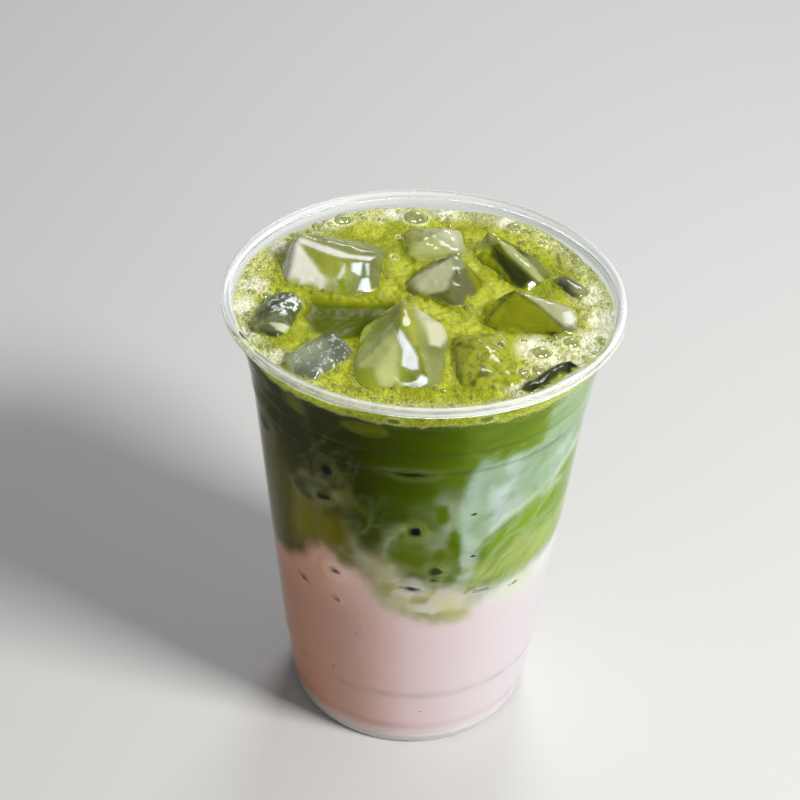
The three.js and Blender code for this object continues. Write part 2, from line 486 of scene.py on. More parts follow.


# Ice: each block is the CAD block with melted edges and a wavy skin. A pocket has its colours near the top
# and at the bottom, darker at the bottom as painted shade under the ice; a frost patch its middle, radius,
# amount and colour, and a shard its amount, edge, colour and outline. Some shards are frost, others painted
# highlights.
ice = {
    "voxel": 0.45, "smoothing": 3, "wave": 0.5, "waveSize": 4.6, "ripple": 0.05, "rippleSize": 1.5,
    "intoIce": 0.4, "grow": 0.45, "pocketTilt": (0.02, 110), "slope": 1.5, "level": 120,
    "clear": (247, 250, 242), "shadow": (240, 246, 232), "bend": 1.31, "roughness": 0.02, "frosting": 0.68,
    "frostAndLightSide": (0.45, 0.1, 0.88), "sideEdge": (0.45, 0.9), "wobbleSize": 4.5,
    "patchShape": (1, 1, 1.2), "patchEdge": (1.2, 0.3), "veinSize": 3.0, "veinEdge": (0.9, 0.985),
    "veinColour": (206, 212, 196),
    "speckSize": 0.9, "speckEdge": (0.6, 0.74), "speckColour": (150, 160, 40), "speckAmount": 0.85,
    "glintSize": 0.75, "glintEdge": (0.52, 0.64), "glintColour": (226, 234, 234),
    "cling": (160, 168, 34), "clingSpots": (126, 136, 24), "clingRadius": 45, "clingHeight": (1.5, 0.2),
    "blocks": {
        "ice_01": {
            "seen": 5, "pocket": [(172, 180, 60), (130, 140, 30)], "base": (0.42, (164, 172, 110)),
            "frostAndShine": [
                ((-31, 8, 119), 9, 0.9, (214, 216, 186)), ((-24, 8, 118), 6, 0.75, (206, 210, 170)),
                ((-24, 24, 121), 10, 0.62, (160, 166, 112)), ((-30, 20, 123), 5, 0.7, (190, 196, 166)),
            ],
            "veins": 0.3, "specks": 0.12,
            "shardsAndHighlights": [
                (0.55, 0.8, (150, 156, 104), [(-32, 25.5), (-24.5, 26), (-14.5, 25), (-9.5, 22.5),
                 (-10.5, 17), (-19.5, 18), (-26.5, 21.5)]),
                (1.0, 0.8, (226, 226, 208), [(-37.5, 7), (-35.5, 15), (-34.5, 23), (-31.5, 22), (-27.5, 14),
                 (-25, 8), (-24, 1.5), (-26.5, 0), (-31.5, 2), (-37, 3.5)]),
                (0.55, 1.0, (160, 166, 70), [(-31, 20.5), (-26.5, 18.5), (-20, 15.5), (-18, 10.5),
                 (-23, 6.5), (-25.5, 9), (-28.5, 15.5)]),
                (0.5, 0.5, (120, 130, 10), [(-21.5, 6.5), (-19.5, 6.5), (-19, 0.5), (-20.5, 0.5)]),
                # painted highlight along the ridge, then painted reflections at the right end
                (0.95, 0.5, (228, 228, 216), [(-33.5, 25), (-29.5, 23), (-24.5, 21), (-19, 17.5),
                 (-12.5, 17), (-14, 15), (-21.5, 16), (-28, 19.5), (-31.5, 22)]),
                (1.0, 0.35, (226, 238, 238), [(-18.5, 13.5), (-15.5, 14.5), (-16, 8), (-18, 10)]),
                (1.0, 0.35, (226, 238, 238), [(-15, 14), (-14, 14), (-14, 8.5), (-14.5, 8)]),
                (1.0, 0.35, (226, 238, 238), [(-15.5, 7), (-14, 7.5), (-13, 1.5), (-16.5, 1.5)]),
                (0.8, 0.35, (220, 230, 222), [(-21.5, 7), (-20, 13.5), (-19.5, 9.5), (-21, 6)]),
            ],
        },
        "ice_02": {
            "seen": 3, "pocket": [(180, 184, 80), (150, 156, 50)], "base": (0.6, (186, 190, 120)),
            "frostAndShine": [((5, 30, 120), 8, 0.9, (214, 215, 182)), ((0, 24, 118), 6, 0.7, (186, 190, 120))],
            "veins": 0.15, "specks": 0.25,
        },
        "ice_03": {
            "seen": 5, "pocket": [(120, 126, 30), (64, 72, 14)], "base": (0.4, (118, 122, 60)),
            "frostAndShine": [((-1, 10, 119), 7, 0.88, (188, 190, 140)), ((7, 6, 118), 5, 0.4, (120, 124, 66))],
            "veins": 0.2, "specks": 0.55,
            "shardsAndHighlights": [
                (0.85, 0.8, (192, 193, 150), [(-5, 8.5), (1.5, 13), (6.5, 19.5), (8, 16.5), (6, 8),
                 (5, 3.5), (0, 0.5), (-4, 5)]),
                (0.55, 0.8, (128, 130, 82), [(6, 9), (9, 12), (13.5, 4.5), (14.5, -2), (10.5, -4.5),
                 (6, -0.5)]),
                (0.6, 0.6, (160, 170, 126), [(6, 22), (8.5, 25), (10.5, 16.5), (8.5, 12), (6.5, 15)]),
                (0.6, 0.8, (150, 156, 24), [(9, 18.5), (12, 13), (15, 3.5), (13.5, 2.5), (10, 11)]),
            ],
        },
        "ice_04": {
            "seen": 7, "pocket": [(176, 188, 10), (60, 72, 4)], "base": (0.06, (150, 160, 30)),
            "frostAndShine": [((28, 17, 119), 7, 0.6, (150, 158, 84)), ((13, 24, 121), 2.6, 0.5, (206, 214, 150))],
            "veins": 0.05, "specks": 0.0,
            "shardsAndHighlights": [
                (0.92, 0.5, (180, 190, 8), [(11.5, 19.5), (14.5, 22.5), (18, 16.5), (20, 12.5), (22, 6.5),
                 (20.5, 5.5), (16, 8.5), (12.5, 14)]),
                (0.7, 1.0, (188, 196, 128), [(12, 22.5), (13, 29.5), (16.5, 32), (17, 25.5), (14.5, 22)]),
                (0.75, 0.5, (52, 60, 8), [(16, 25), (20.5, 19.5), (27.5, 8.5), (28.5, 7), (22, 5.5),
                 (21.5, 9.5), (17.5, 17.5)]),
                (0.8, 0.5, (176, 182, 120), [(17, 27.5), (21.5, 25), (25.5, 18), (29.5, 10), (28, 9),
                 (24, 15), (19.5, 22)]),
            ],
        },
        "ice_05": {
            "seen": 4, "pocket": [(126, 132, 84), (80, 88, 56)], "base": (0.9, (150, 152, 106)),
            "frostAndShine": [((35, 11, 119), 5, 0.45, (150, 152, 118))],
            "veins": 0.15, "specks": 0.0,
        },
        "ice_06": {
            "seen": 6, "pocket": [(152, 160, 8), (70, 80, 4)], "base": (0.15, (142, 150, 16)),
            "frostAndShine": [((20, -6, 119), 8, 0.45, (142, 150, 14)), ((35, -4, 119), 6.5, 0.8, (206, 208, 184))],
            "veins": 0.06, "specks": 0.7,
            "shardsAndHighlights": [
                (0.6, 0.5, (146, 152, 8), [(15, -8), (21.5, 3.5), (28.5, -4), (33.5, -12), (26, -13),
                 (16, -13.5)]),
                (0.75, 0.6, (190, 194, 150), [(23, 4), (31, 3), (36, -2), (36.5, -7.5), (34, -10),
                 (28.5, -3)]),
                # painted glint at the right end
                (0.95, 0.4, (216, 220, 204), [(33, -4), (35, -3), (36.5, -7), (35, -9), (33.5, -8)]),
            ],
        },
        "ice_07": {
            "seen": 6, "pocket": [(188, 196, 90), (140, 150, 40)], "base": (0.5, (180, 187, 112)),
            "frostAndShine": [
                ((3, -12, 122), 8, 0.92, (208, 211, 172)), ((-11, -20, 121), 8, 0.62, (178, 186, 112)),
                ((-5, -31, 118), 6, 0.3, (160, 170, 60)), ((-5, -8, 123), 5, 0.8, (206, 212, 176)),
            ],
            "veins": 0.1, "specks": 0.08,
            "shardsAndHighlights": [
                (0.75, 0.8, (192, 199, 132), [(-7, -11), (-11.5, -18.5), (-16, -27), (-15.5, -33.5),
                 (-13.5, -40), (-5.5, -41.5), (-5, -30.5), (-5.5, -16.5)]),
                (0.5, 1.2, (150, 164, 30), [(-16, -31), (-11.5, -30.5), (-9, -38), (-11, -42),
                 (-14.5, -41)]),
                (0.8, 0.7, (214, 214, 182), [(-1, -1.5), (2.5, -4.5), (5.5, -10.5), (7, -14), (4, -21),
                 (1.5, -20), (0.5, -10)]),
                (0.55, 1.2, (186, 190, 70), [(-6.5, -3), (-3, -1.5), (-1.5, -10), (-1.5, -20.5),
                 (-3.5, -16.5), (-6, -11)]),
                (0.6, 0.5, (126, 136, 16), [(-2, -20.5), (-1, -20.5), (1.5, -32), (0.5, -33.5)]),
                # painted highlights: a streak down the ridge and a crescent at the foot
                (0.95, 0.35, (232, 240, 240), [(-5.5, -13.5), (-3, -19.5), (-1, -25), (-0.5, -30),
                 (-2, -30.5), (-4.5, -29), (-4.5, -22.5), (-6, -17)]),
                (1.0, 0.35, (238, 246, 248), [(-6, -33.5), (-4.5, -35.5), (-2.5, -35.5), (-1, -34.5),
                 (0, -32), (1.5, -33.5), (1.5, -35.5), (-0.5, -38), (-4.5, -37.5)]),
            ],
        },
        "ice_08": {
            "seen": 4, "pocket": [(140, 148, 30), (96, 106, 14)], "base": (0.45, (138, 146, 52)),
            "frostAndShine": [((14, -18, 120), 8, 0.6, (146, 152, 72)), ((16, -28, 118), 7, 0.55, (134, 144, 24))],
            "veins": 0.06, "specks": 0.9, "covered": 0.95,
        },
        "ice_09": {
            "seen": 5, "pocket": [(150, 156, 132), (90, 96, 76)], "base": (0.45, (132, 138, 118)),
            "veinSize": 1.7, "glints": [(-19, -31, 6)],
            "frostAndShine": [((-24, -27, 119), 4, 0.3, (170, 178, 168))],
            "veins": 0.9, "specks": 0.0,
        },
        "ice_10": {
            "seen": 7, "pocket": [(122, 134, 74), (70, 84, 34)], "base": (0.5, (112, 122, 72)),
            "veinSize": 1.9, "glints": [(-33, -6, 6)],
            "frostAndShine": [((-36, -12, 119), 5, 0.45, (150, 158, 100)),
             ((-32, -2, 120), 3.5, 0.3, (130, 140, 92))],
            "veins": 0.5, "specks": 0.06,
            "shardsAndHighlights": [
                # painted highlight on the lower ridge
                (0.9, 0.3, (206, 212, 176), [(-36.5, -13.5), (-32.5, -14), (-29.5, -17.5), (-30, -19.5),
                 (-34, -17)]),
            ],
        },
        "ice_11": {
            "seen": 8, "pocket": [(52, 58, 28), (28, 34, 10)], "base": (0.08, (76, 84, 44)),
            "frostAndShine": [((30, -28, 118), 4, 0.15, (120, 130, 90))],
            "veins": 0.15, "specks": 0.0,
        },
    },
}


# Distance of points from the straight stretch between two ends
def stretchDistance(points, start, end):
    way = end - start
    along = np.clip(((points - start) @ way) / max(way @ way, 1e-9), 0, 1)
    return np.linalg.norm(points - start - along[:, None] * way, axis=1)


def lineDistance(points, line):
    line = np.array(line, float)
    return np.min([stretchDistance(points, start, end) for start, end in zip(line, line[1:])], axis=0)


# How far points lie inside an outline, below nothing outside
def depthInside(points, outline):
    outline = np.array(outline, float)
    inside = np.zeros(len(points), bool)
    nearest = np.full(len(points), 1e9)
    for start, end in zip(outline, np.roll(outline, -1, axis=0)):
        nearest = np.minimum(nearest, stretchDistance(points, start, end))
        crosses = (start[1] > points[:, 1]) != (end[1] > points[:, 1])
        rise = end[1] - start[1] if end[1] != start[1] else 1e-9
        reach = start[0] + (points[:, 1] - start[1]) / rise * (end[0] - start[0])
        inside ^= crosses & (points[:, 0] < reach)
    return np.where(inside, nearest, -nearest)


def iceMaterial():
    shader = Shader("wetIce")
    # the frost attribute holds frost and also painted highlights, reflections and glints, as a white share
    # over the clear ice
    frostAndShine = shader.add("ShaderNodeAttribute", attribute_name="frostAndShine").outputs
    glass = shader.surface("Principled", Base_Color=rgba(ice["clear"]), Roughness=ice["roughness"],
                           IOR=ice["bend"], Transmission_Weight=1.0)
    grain = shader.node("ShaderNodeTexNoise", Vector=shader.spot(), Scale=900.0, Detail=3.0)
    bump = shader.node("ShaderNodeBump", Height=grain.outputs[0], Strength=0.12, Distance=0.0004)
    white = shader.surface("Principled", Base_Color=frostAndShine["Color"], Roughness=0.32, IOR=ice["bend"],
                           Coat_Weight=0.7, Coat_Roughness=0.06, Normal=bump.outputs[0])
    clear = shader.surface("Transparent", Color=rgba(ice["shadow"]))
    shadow = shader.add("ShaderNodeLightPath").outputs["Is Shadow Ray"]
    passing = shader.math("MULTIPLY", shadow, shader.math("SUBTRACT", 1.0, frostAndShine["Alpha"]))
    return shader.finish(shader.mix(passing, shader.mix(frostAndShine["Alpha"], glass, white), clear))


def iceMesh(name, seed):
    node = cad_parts[name]
    work = bmesh.new()
    work.from_mesh(node.data)
    bmesh.ops.remove_doubles(work, verts=work.verts, dist=1e-6)
    work.transform(Matrix.Scale(1 / mm, 4))
    big = bpy.data.meshes.new(name + "Big")
    work.to_mesh(big)
    work.free()
    big.materials.clear()
    stays = ("position", "sharp_face", "material_index", ".edge_verts", ".corner_vert", ".corner_edge")
    for layer in list(big.attributes):
        if not layer.is_internal and layer.name not in stays:
            big.attributes.remove(layer)
    holder = meshObject(name + "Big", big)
    remesh = holder.modifiers.new("voxels", "REMESH")
    remesh.mode, remesh.voxel_size = "VOXEL", ice["voxel"]
    melt = holder.modifiers.new("melt", "SMOOTH")
    melt.factor, melt.iterations = 0.5, ice["smoothing"]
    mesh = settle(holder, name)
    mesh.transform(Matrix.Scale(mm, 4))
    mesh.update()
    points, normals = pointsOf(mesh), normalsOf(mesh)
    lift = ice["wave"] * (cloudy(points, ice["waveSize"], seed) - 0.5) * 2
    lift = lift + ice["ripple"] * (noise(points, ice["rippleSize"], seed + 7) - 0.5) * 2
    grown = points + normals * (lift + ice["grow"])[:, None]
    box = np.array(cadBox) / mm
    movePoints(mesh, np.clip(grown, box[0] + 0.01, box[1] - 0.01))
    return mesh


def frostAndShineOf(mesh, block, seed):
    points, towardLight = pointsOf(mesh), normalsOf(mesh) @ np.array(ice["frostAndLightSide"])
    wobble = cloudy(points, ice["wobbleSize"], seed + 3) - 0.5
    baseAmount, baseColour = block["base"]
    amount = baseAmount * (1 + 0.8 * wobble)
    colour = np.tile(linear(baseColour), (len(points), 1))
    for middle, radius, strength, tint in block["frostAndShine"]:
        away = np.linalg.norm((points - middle) * ice["patchShape"], axis=1) / radius + wobble * 0.8
        share = soft(*ice["patchEdge"], away)
        colour = blend(colour, linear(tint), share)
        amount = amount + (strength - amount) * share
    # faces that look up and to the right, towards the key light, are whiter: frost and painted light
    # together; the others clearer
    amount = amount * (0.55 + 0.75 * soft(*ice["sideEdge"], towardLight))
    veinSize = block.get("veinSize", ice["veinSize"])
    ridge = 1 - np.abs(cloudy(points * (1, 1, 0.6), veinSize, seed + 11, 4) - 0.5) * 2
    vein = soft(*ice["veinEdge"], ridge) * block["veins"]
    colour = blend(colour, linear(ice["veinColour"]), vein)
    amount = np.maximum(amount, vein)
    dots = soft(*ice["speckEdge"], noise(points, ice["speckSize"], seed + 19)) * block["specks"]
    colour = blend(colour, linear(ice["speckColour"]), dots)
    amount = np.maximum(amount, dots * ice["speckAmount"]) * ice["frosting"]
    # shards are clear-cut areas, some frost and some painted highlights and reflections, laid out on one
    # level and drawn on the block along a slope
    laid = np.stack([points[:, 0], points[:, 1] + ice["slope"] * (points[:, 2] - ice["level"])], 1)
    for strength, edge, tint, outline in block.get("shardsAndHighlights", []):
        share = soft(-edge, edge, depthInside(laid + 0.6 * wobble[:, None], outline))
        colour = blend(colour, linear(tint), share)
        amount = amount + (strength - amount) * share
    # painted glints: white-blue dots in a round patch on the block
    for x, y, radius in block.get("glints", []):
        share = soft(1, 0.5, reachOf(laid, x, y) / radius)
        share = share * soft(*ice["glintEdge"], noise(points, ice["glintSize"], seed + 29))
        colour = blend(colour, linear(ice["glintColour"]), share)
        amount = np.maximum(amount, share)
    # foam clings to the foot of the block
    share = np.clip(reachOf(points) / ice["clingRadius"], 0, 1)
    above = points[:, 2] - foamHeight(turnOf(points), share)
    cling = soft(*ice["clingHeight"], above + 2.4 * (cloudy(points, 2.2, seed + 23) - 0.5)) * 0.9
    cling = np.maximum(cling, block.get("covered", 0) * soft(0.2, 0.4, cloudy(points, 3, seed + 31)))
    spots = soft(0.55, 0.75, noise(points, 0.9, seed + 33))
    colour = blend(colour, blend(linear(ice["cling"]), linear(ice["clingSpots"]), spots), cling)
    amount = np.maximum(amount, cling)
    return np.hstack([colour, np.clip(amount, 0, 1)[:, None]])


def buildIce():
    material = iceMaterial()
    meshes = {}
    cutters = bmesh.new()
    for seed, (name, block) in enumerate(ice["blocks"].items()):
        mesh = iceMesh(name, seed + 1)
        meshes[name] = mesh
        inner = mesh.copy()
        shrunk = pointsOf(mesh) - normalsOf(mesh) * ice["intoIce"]
        tilt, level = ice["pocketTilt"]
        deepest = drink["foamLevel"] - block["seen"] + tilt * (shrunk[:, 2] - level)
        shrunk[:, 2] = np.maximum(shrunk[:, 2], deepest)
        movePoints(inner, shrunk)
        cutters.from_mesh(inner)
        bpy.data.meshes.remove(inner)
        paint(mesh, "frostAndShine", frostAndShineOf(mesh, block, seed + 1))
        mesh.shade_smooth()
        addPiece(name.replace("_", "Melted"), mesh, material, [name])
    tool = bpy.data.meshes.new("icePockets")
    cutters.to_mesh(tool)
    cutters.free()
    print("stage ice", len(tool.polygons))
    return meshes, tool


iceMeshes, pocketTool = buildIce()
iceTrees = [treeOf(mesh) for mesh in iceMeshes.values()]


# Sunk ice that touches the wall shows as dark lenses: turn, height, half width, half height, tilt, colour
lenses = {
    "rings": 6, "steps": 28, "stand": 0.1, "root": -3.0, "lobe": 0.08, "grain": 0.35, "softBelow": 62,
    "halo": 0.34, "haloFrom": 58, "haloTo": 115, "haloColour": (96, 94, 74), "rimColour": (214, 216, 130),
    "at": [
        (-31, 93.5, 2.1, 1.9, 20, (26, 32, 30)), (-33, 84.2, 2.6, 1.0, 15, (44, 46, 22)),
        (0.5, 79.6, 1.9, 1.8, 0, (18, 26, 30)), (8.5, 66, 2.0, 1.6, -20, (52, 66, 30)),
        (8, 63, 1.1, 0.6, 0, (66, 76, 40)), (0, 60, 3.1, 1.1, -8, (40, 40, 38)),
        (28, 56.8, 3.0, 0.7, -4, (130, 128, 134)), (43, 54.6, 1.9, 0.8, 10, (112, 112, 118)),
        (-47, 51, 2.9, 1.3, -10, (124, 80, 64)), (-30, 60.2, 2.2, 1.3, 8, (118, 92, 86)),
        (-30, 50.2, 1.9, 1.4, 0, (170, 136, 130)), (-1.5, 98.3, 4.6, 0.75, 0, (18, 28, 8)),
        (20.5, 84.2, 0.9, 0.5, 10, (60, 84, 74)), (22, 69.8, 0.9, 0.45, 0, (44, 62, 24)),
        (-66, 93, 4.0, 2.2, 10, (40, 40, 20)), (-20, 43, 0.5, 0.35, 30, (150, 116, 110)),
        (-22, 40, 0.5, 0.3, 30, (156, 122, 116)), (6.5, 13.2, 0.5, 0.35, 0, (160, 124, 126)),
        (-34, 24, 0.5, 0.35, 0, (150, 112, 102)), (-7, 116.2, 1.7, 0.95, 0, (120, 124, 64)),
        (19.5, 116.4, 1.8, 1.05, 0, (128, 136, 74)), (105, 88, 2.4, 1.2, 12, (40, 48, 24)),
        (128, 74, 1.8, 1.5, 0, (30, 40, 28)), (150, 62, 2.6, 0.9, -6, (60, 62, 48)),
        (172, 95, 2.0, 1.6, 20, (28, 34, 26)), (196, 80, 2.6, 1.0, -12, (40, 46, 22)),
        (222, 68, 1.6, 1.3, 0, (50, 56, 36)), (246, 90, 2.2, 1.0, 10, (36, 42, 20)),
    ],
}


# Marbling on the wall, drawn in degrees from the front and millimetres of height. Areas and wisps have an
# edge, a strength, a colour and an outline, and one has the size of its patches. Strokes have a width, a
# strength, a colour and a line. The back is the front mirrored at the sides, and the warp makes it differ.
marble = {
    "degree": 0.7,
    "warp": [(17, 3.2, 5), (6, 1.7, 9), (2.4, 0.9, 13)],
    # greens and pinks darken and warm towards the left: partly the drink's own colour, partly painted shade
    # on the side away from the key light
    "greens": [
        (-90, (92, 88, 34)), (-60, (70, 68, 10)), (-40, (62, 62, 6)), (-20, (56, 64, 2)), (0, (68, 84, 2)),
        (12, (86, 108, 4)), (25, (108, 134, 24)), (60, (140, 166, 64)), (90, (146, 170, 84)),
    ],
    "pinks": [
        (-90, (196, 142, 116)), (-45, (216, 158, 132)), (-20, (238, 192, 180)), (0, (242, 212, 214)),
        (30, (230, 214, 218)), (90, (222, 214, 220)),
    ],
    "areas": [
        # the first area, dark green at the upper left, is partly the matcha's own colour and partly painted
        # shade
        (7, 0.6, (52, 54, 4), [(-60, 118), (-22, 118), (-19, 92), (-38, 90), (-58, 97)]),
        (8, 0.5, (140, 128, 70), [(-96, 104), (-66, 100), (-55, 92), (-52, 76), (-53, 62), (-60, 50),
         (-96, 46)]),
        (3, 0.45, (128, 126, 64), [(-28, 95), (-24, 94), (-23, 80), (-18, 70), (-22, 68), (-27, 80)]),
        (4, 0.75, (140, 130, 8), [(-50, 80), (-38, 82), (-28, 80), (-22, 70), (-20, 62), (-30, 64),
         (-40, 66), (-52, 64)]),
        (1.4, 0.9, (158, 182, 152), [(20, 103), (24, 101), (44, 100), (46, 116), (60, 118), (96, 118),
         (96, 90), (62, 86), (50, 83), (36, 81), (28, 79), (24, 77), (22, 73), (21, 66), (18, 63),
         (17, 70), (17, 78), (16, 86), (17, 95)]),
        (4, 0.55, (150, 176, 110), [(46, 118), (46, 104), (60, 102), (96, 106), (96, 118)]),
        (3.5, 0.9, (108, 132, 28), [(17, 101), (42, 102), (42, 114), (16, 114)]),
        (3, 0.85, (202, 212, 212), [(27, 91), (33, 92), (37, 86), (33, 81), (28, 82)]),
        (2.2, 0.6, (190, 204, 192), [(20, 97), (22, 96), (20.5, 86), (19.5, 76), (20, 66), (18.5, 65),
         (17.5, 76), (18, 86)]),
        (1.2, 0.6, (196, 208, 184), [(21, 75), (28, 79.5), (34, 81.4), (45, 83), (55, 84.6), (62, 89.5),
         (75, 90.5), (96, 90), (96, 86), (62, 86), (45, 80), (30, 77)]),
        (1.5, 0.95, (126, 156, 38), [(22, 74.5), (28, 78), (34, 80), (45, 81.5), (55, 83), (62, 87),
         (75, 88), (96, 88), (96, 70), (70, 67), (55, 69), (40, 71), (28, 70.5)]),
        (3.2, 0.9, (162, 178, 96), [(19, 68), (40, 71), (60, 69), (96, 70), (96, 62), (60, 60), (40, 60),
         (25, 61), (18, 62)]),
        (4, 0.75, (204, 188, 146), [(-22, 71), (-9, 71), (-4, 66), (-5, 59), (-12, 57), (-20, 63)]),
        (1.3, 0.3, (160, 166, 96), [(-10, 80), (-4, 83), (4, 82.5), (10, 79), (13, 72), (9, 66),
         (0, 65.5), (-7, 68), (-11, 74)]),
        (1.4, 0.9, (92, 108, 6), [(-8, 79), (-3, 81), (4, 80.6), (9, 77.5), (11, 72), (8, 68), (0, 67.5),
         (-6, 69), (-9, 74)]),
        (1.3, 0.4, (150, 142, 86), [(-50, 84), (-44, 89), (-32, 90), (-27, 85), (-33, 81), (-46, 80)]),
        (1.3, 0.85, (70, 70, 16), [(-48, 83.5), (-43, 87.4), (-33, 88), (-29.5, 85), (-34, 82.4),
         (-45, 81.4)]),
    ],
    "milk": {"edge": 2.9, "at": [
        (-96, -9), (-96, 50), (-75, 52), (-60, 55), (-48, 60), (-42, 66), (-37, 68), (-30, 66), (-25, 63.5),
        (-19, 63), (-14, 59), (-9, 54), (-3, 52), (4, 50), (12, 49), (18, 49.5), (24, 53), (32, 55.5),
        (45, 56), (58, 58), (75, 61), (96, 62), (96, -9),
    ]},
    "wisps": [
        (4.0, 0.8, (176, 174, 116), [(-12, 60), (-4, 62), (6, 60), (14, 60), (22, 58), (22, 49), (4, 49),
         (-8, 53)]),
        (4.0, 0.9, (224, 212, 202), [(-14, 61), (-4, 63), (6, 61), (14, 61), (22, 59), (22, 48), (4, 48),
         (-10, 52)], 5),
        (3.0, 0.6, (192, 186, 124), [(-16, 58), (-10, 53), (-3, 50.5), (-1, 56), (-8, 60)]),
        (3.0, 0.6, (206, 200, 140), [(4, 57), (13, 58), (18, 54), (21, 49), (12, 48.5)]),
        (3.5, 0.7, (224, 226, 220), [(22, 57.5), (45, 58), (96, 61), (96, 52), (50, 50), (24, 51)]),
        (2.4, 0.45, (214, 216, 160), [(30, 54), (50, 57), (56, 54), (40, 51)]),
        (2.0, 0.65, (206, 196, 196), [(-6, 61.5), (0, 63), (5, 60), (3, 57), (-4, 58)]),
        (1.4, 0.5, (158, 160, 92), [(-9, 67), (-7, 67), (-8, 58), (-9.6, 58)]),
    ],
    "strokes": [
        (0.55, 0.7, (168, 156, 100), [(-49, 83.5), (-47.5, 85.5), (-42.5, 89), (-37, 89), (-33, 88),
         (-29.5, 87)]),
        (0.5, 0.6, (160, 148, 92), [(-49, 83.5), (-46, 80.5), (-41, 80), (-32.5, 82.5), (-29, 85.5)]),
        (0.7, 0.55, (158, 152, 92), [(-29, 92), (-27.5, 88.5), (-26, 84.5), (-27.5, 80.5), (-26.5, 74.5),
         (-29, 68.5)]),
        (0.5, 0.45, (140, 134, 50), [(-40, 78), (-36.5, 74.5), (-33.5, 71), (-32.5, 68.5)]),
        (0.45, 0.7, (196, 200, 164), [(-3.5, 80), (-8, 77), (-9, 74.5), (-9, 71.5), (-7, 67.5),
         (-8.5, 63)]),
        (0.9, 0.6, (200, 192, 164), [(-22, 72.5), (-18, 70), (-14, 67), (-10.5, 66), (-7, 61)]),
        (0.7, 0.5, (196, 188, 180), [(-25, 68.5), (-20.5, 68.5), (-16.5, 68.5)]),
        (0.5, 0.35, (140, 150, 60), [(-15, 83.5), (-16.5, 79), (-19.5, 72.5)]),
        (0.5, 0.4, (170, 172, 110), [(-12.5, 76.5), (-14, 70.5), (-12.5, 67)]),
        (0.5, 0.4, (150, 156, 70), [(-29.5, 94.5), (-24, 92), (-22, 87), (-18, 84)]),
        (0.9, 0.6, (218, 222, 210), [(12, 88.5), (13.5, 80), (16.5, 71.5), (19, 65)]),
        (0.5, 0.7, (214, 222, 208), [(20, 75), (25, 77.5), (32, 80.5), (40, 82.5), (50, 83.5),
         (61.5, 82.5)]),
        (0.6, 0.5, (206, 212, 196), [(8, 74.5), (11.5, 71.5), (14, 67), (17, 64)]),
        (0.8, 0.45, (206, 206, 160), [(6.5, 56.5), (13, 53), (19.5, 53), (27, 53.5)]),
        (0.6, 0.4, (186, 192, 130), [(-2.5, 59.5), (-4, 55.5), (0, 52), (5.5, 50.5)]),
    ],
    "mottle": {"size": 7, "from": (70, 84), "dark": (126, 154, 70), "light": (204, 214, 210)},
    "flow": [(-90, 80), (-10, 70), (20, 55), (90, 40)],
    "eased": 0.55,
    "threads": [(5.0, 0.3, (176, 192, 150)), (2.6, 0.26, (186, 198, 170)), (3.6, 0.3, (66, 84, 4))],
    "stepShadeLines": [(7.1, 0.16), (19.6, 0.18), (98.4, 0.24), (104.6, 0.2)],
    "froth": {
        "height": 115.3, "edge": 0.8, "colour": (176, 184, 44), "cream": (222, 224, 170), "dots": 0.6,
        "dotColour": (104, 114, 8), "line": (204, 206, 116),
        "drip": (132, 142, 12), "dripRim": (178, 182, 84),
    },
    "drips": [(-41, 111.8, 2.8, 3.0), (-16, 111.6, 5, 2.2), (40, 113, 7, 1.0), (-66, 111, 8, 4)],
}


def ramp(stops, value):
    colours = np.array([linear(colour) for place, colour in stops])
    places = [place for place, colour in stops]
    return np.stack([np.interp(value, places, colours[:, k]) for k in range(3)], 1)


# The wall as a flat sheet in millimetres, even and warped; the back is mirrored onto the front
def flatWall(points):
    turn = np.degrees(turnOf(points))
    mirrored = np.where(np.abs(turn) <= 90, turn, np.sign(turn) * 180 - turn)
    even = np.stack([mirrored * marble["degree"], points[:, 2]], 1)
    warped = even
    for size, reach, seed in marble["warp"]:
        sway = np.stack([cloudy(points * (1, 1, 0.7), size, seed), cloudy(points, size, seed + 2)], 1) - 0.5
        warped = warped + sway * 2 * reach
    return turn, even, warped


def onSheet(line):
    return [(angle * marble["degree"], height) for angle, height in line]


def layArea(colour, points, flat, area):
    edge, strength, tint, outline, *patches = area
    share = soft(-edge, edge, depthInside(flat, onSheet(outline))) * strength
    for size in patches:
        share = share * soft(0.4, 0.58, cloudy(points, size, 75))
    return blend(colour, linear(tint), share)


# Pale green is mottled with a darker green and with milk
def mottled(colour, points):
    look = marble["mottle"]
    pale = np.clip((colour[:, 2] - 0.12) / 0.2, 0, 1) * soft(*look["from"], points[:, 2])
    cloud = cloudy(points * (1, 1, 0.8), look["size"], 151, 4)
    colour = blend(colour, linear(look["dark"]), pale * soft(0.52, 0.68, cloud) * 0.6)
    return blend(colour, linear(look["light"]), pale * soft(0.46, 0.3, cloud) * 0.55)


# Points drawn out along the flow, which falls to the left of the right half
def flowOf(points, flat):
    places, slopes = zip(*marble["flow"])
    slope = np.radians(np.interp(flat[:, 0] / marble["degree"], places, slopes))
    along = flat[:, 0] * np.cos(slope) + flat[:, 1] * np.sin(slope)
    across = flat[:, 1] * np.cos(slope) - flat[:, 0] * np.sin(slope)
    return np.stack([along * 0.22, across, points[:, 1] * 0.05], 1)


def threaded(colour, points, flow, side):
    where = soft(118, 100, points[:, 2]) * (0.3 + 0.7 * soft(0, 25, side))
    for index, (size, strength, tint) in enumerate(marble["threads"]):
        ridge = 1 - np.abs(cloudy(flow, size, 130 + index) - 0.5) * 2
        patch = soft(0.42, 0.62, cloudy(points, 15, 140 + index))
        colour = blend(colour, linear(tint), soft(0.86, 0.98, ridge) * patch * where * strength)
    return colour


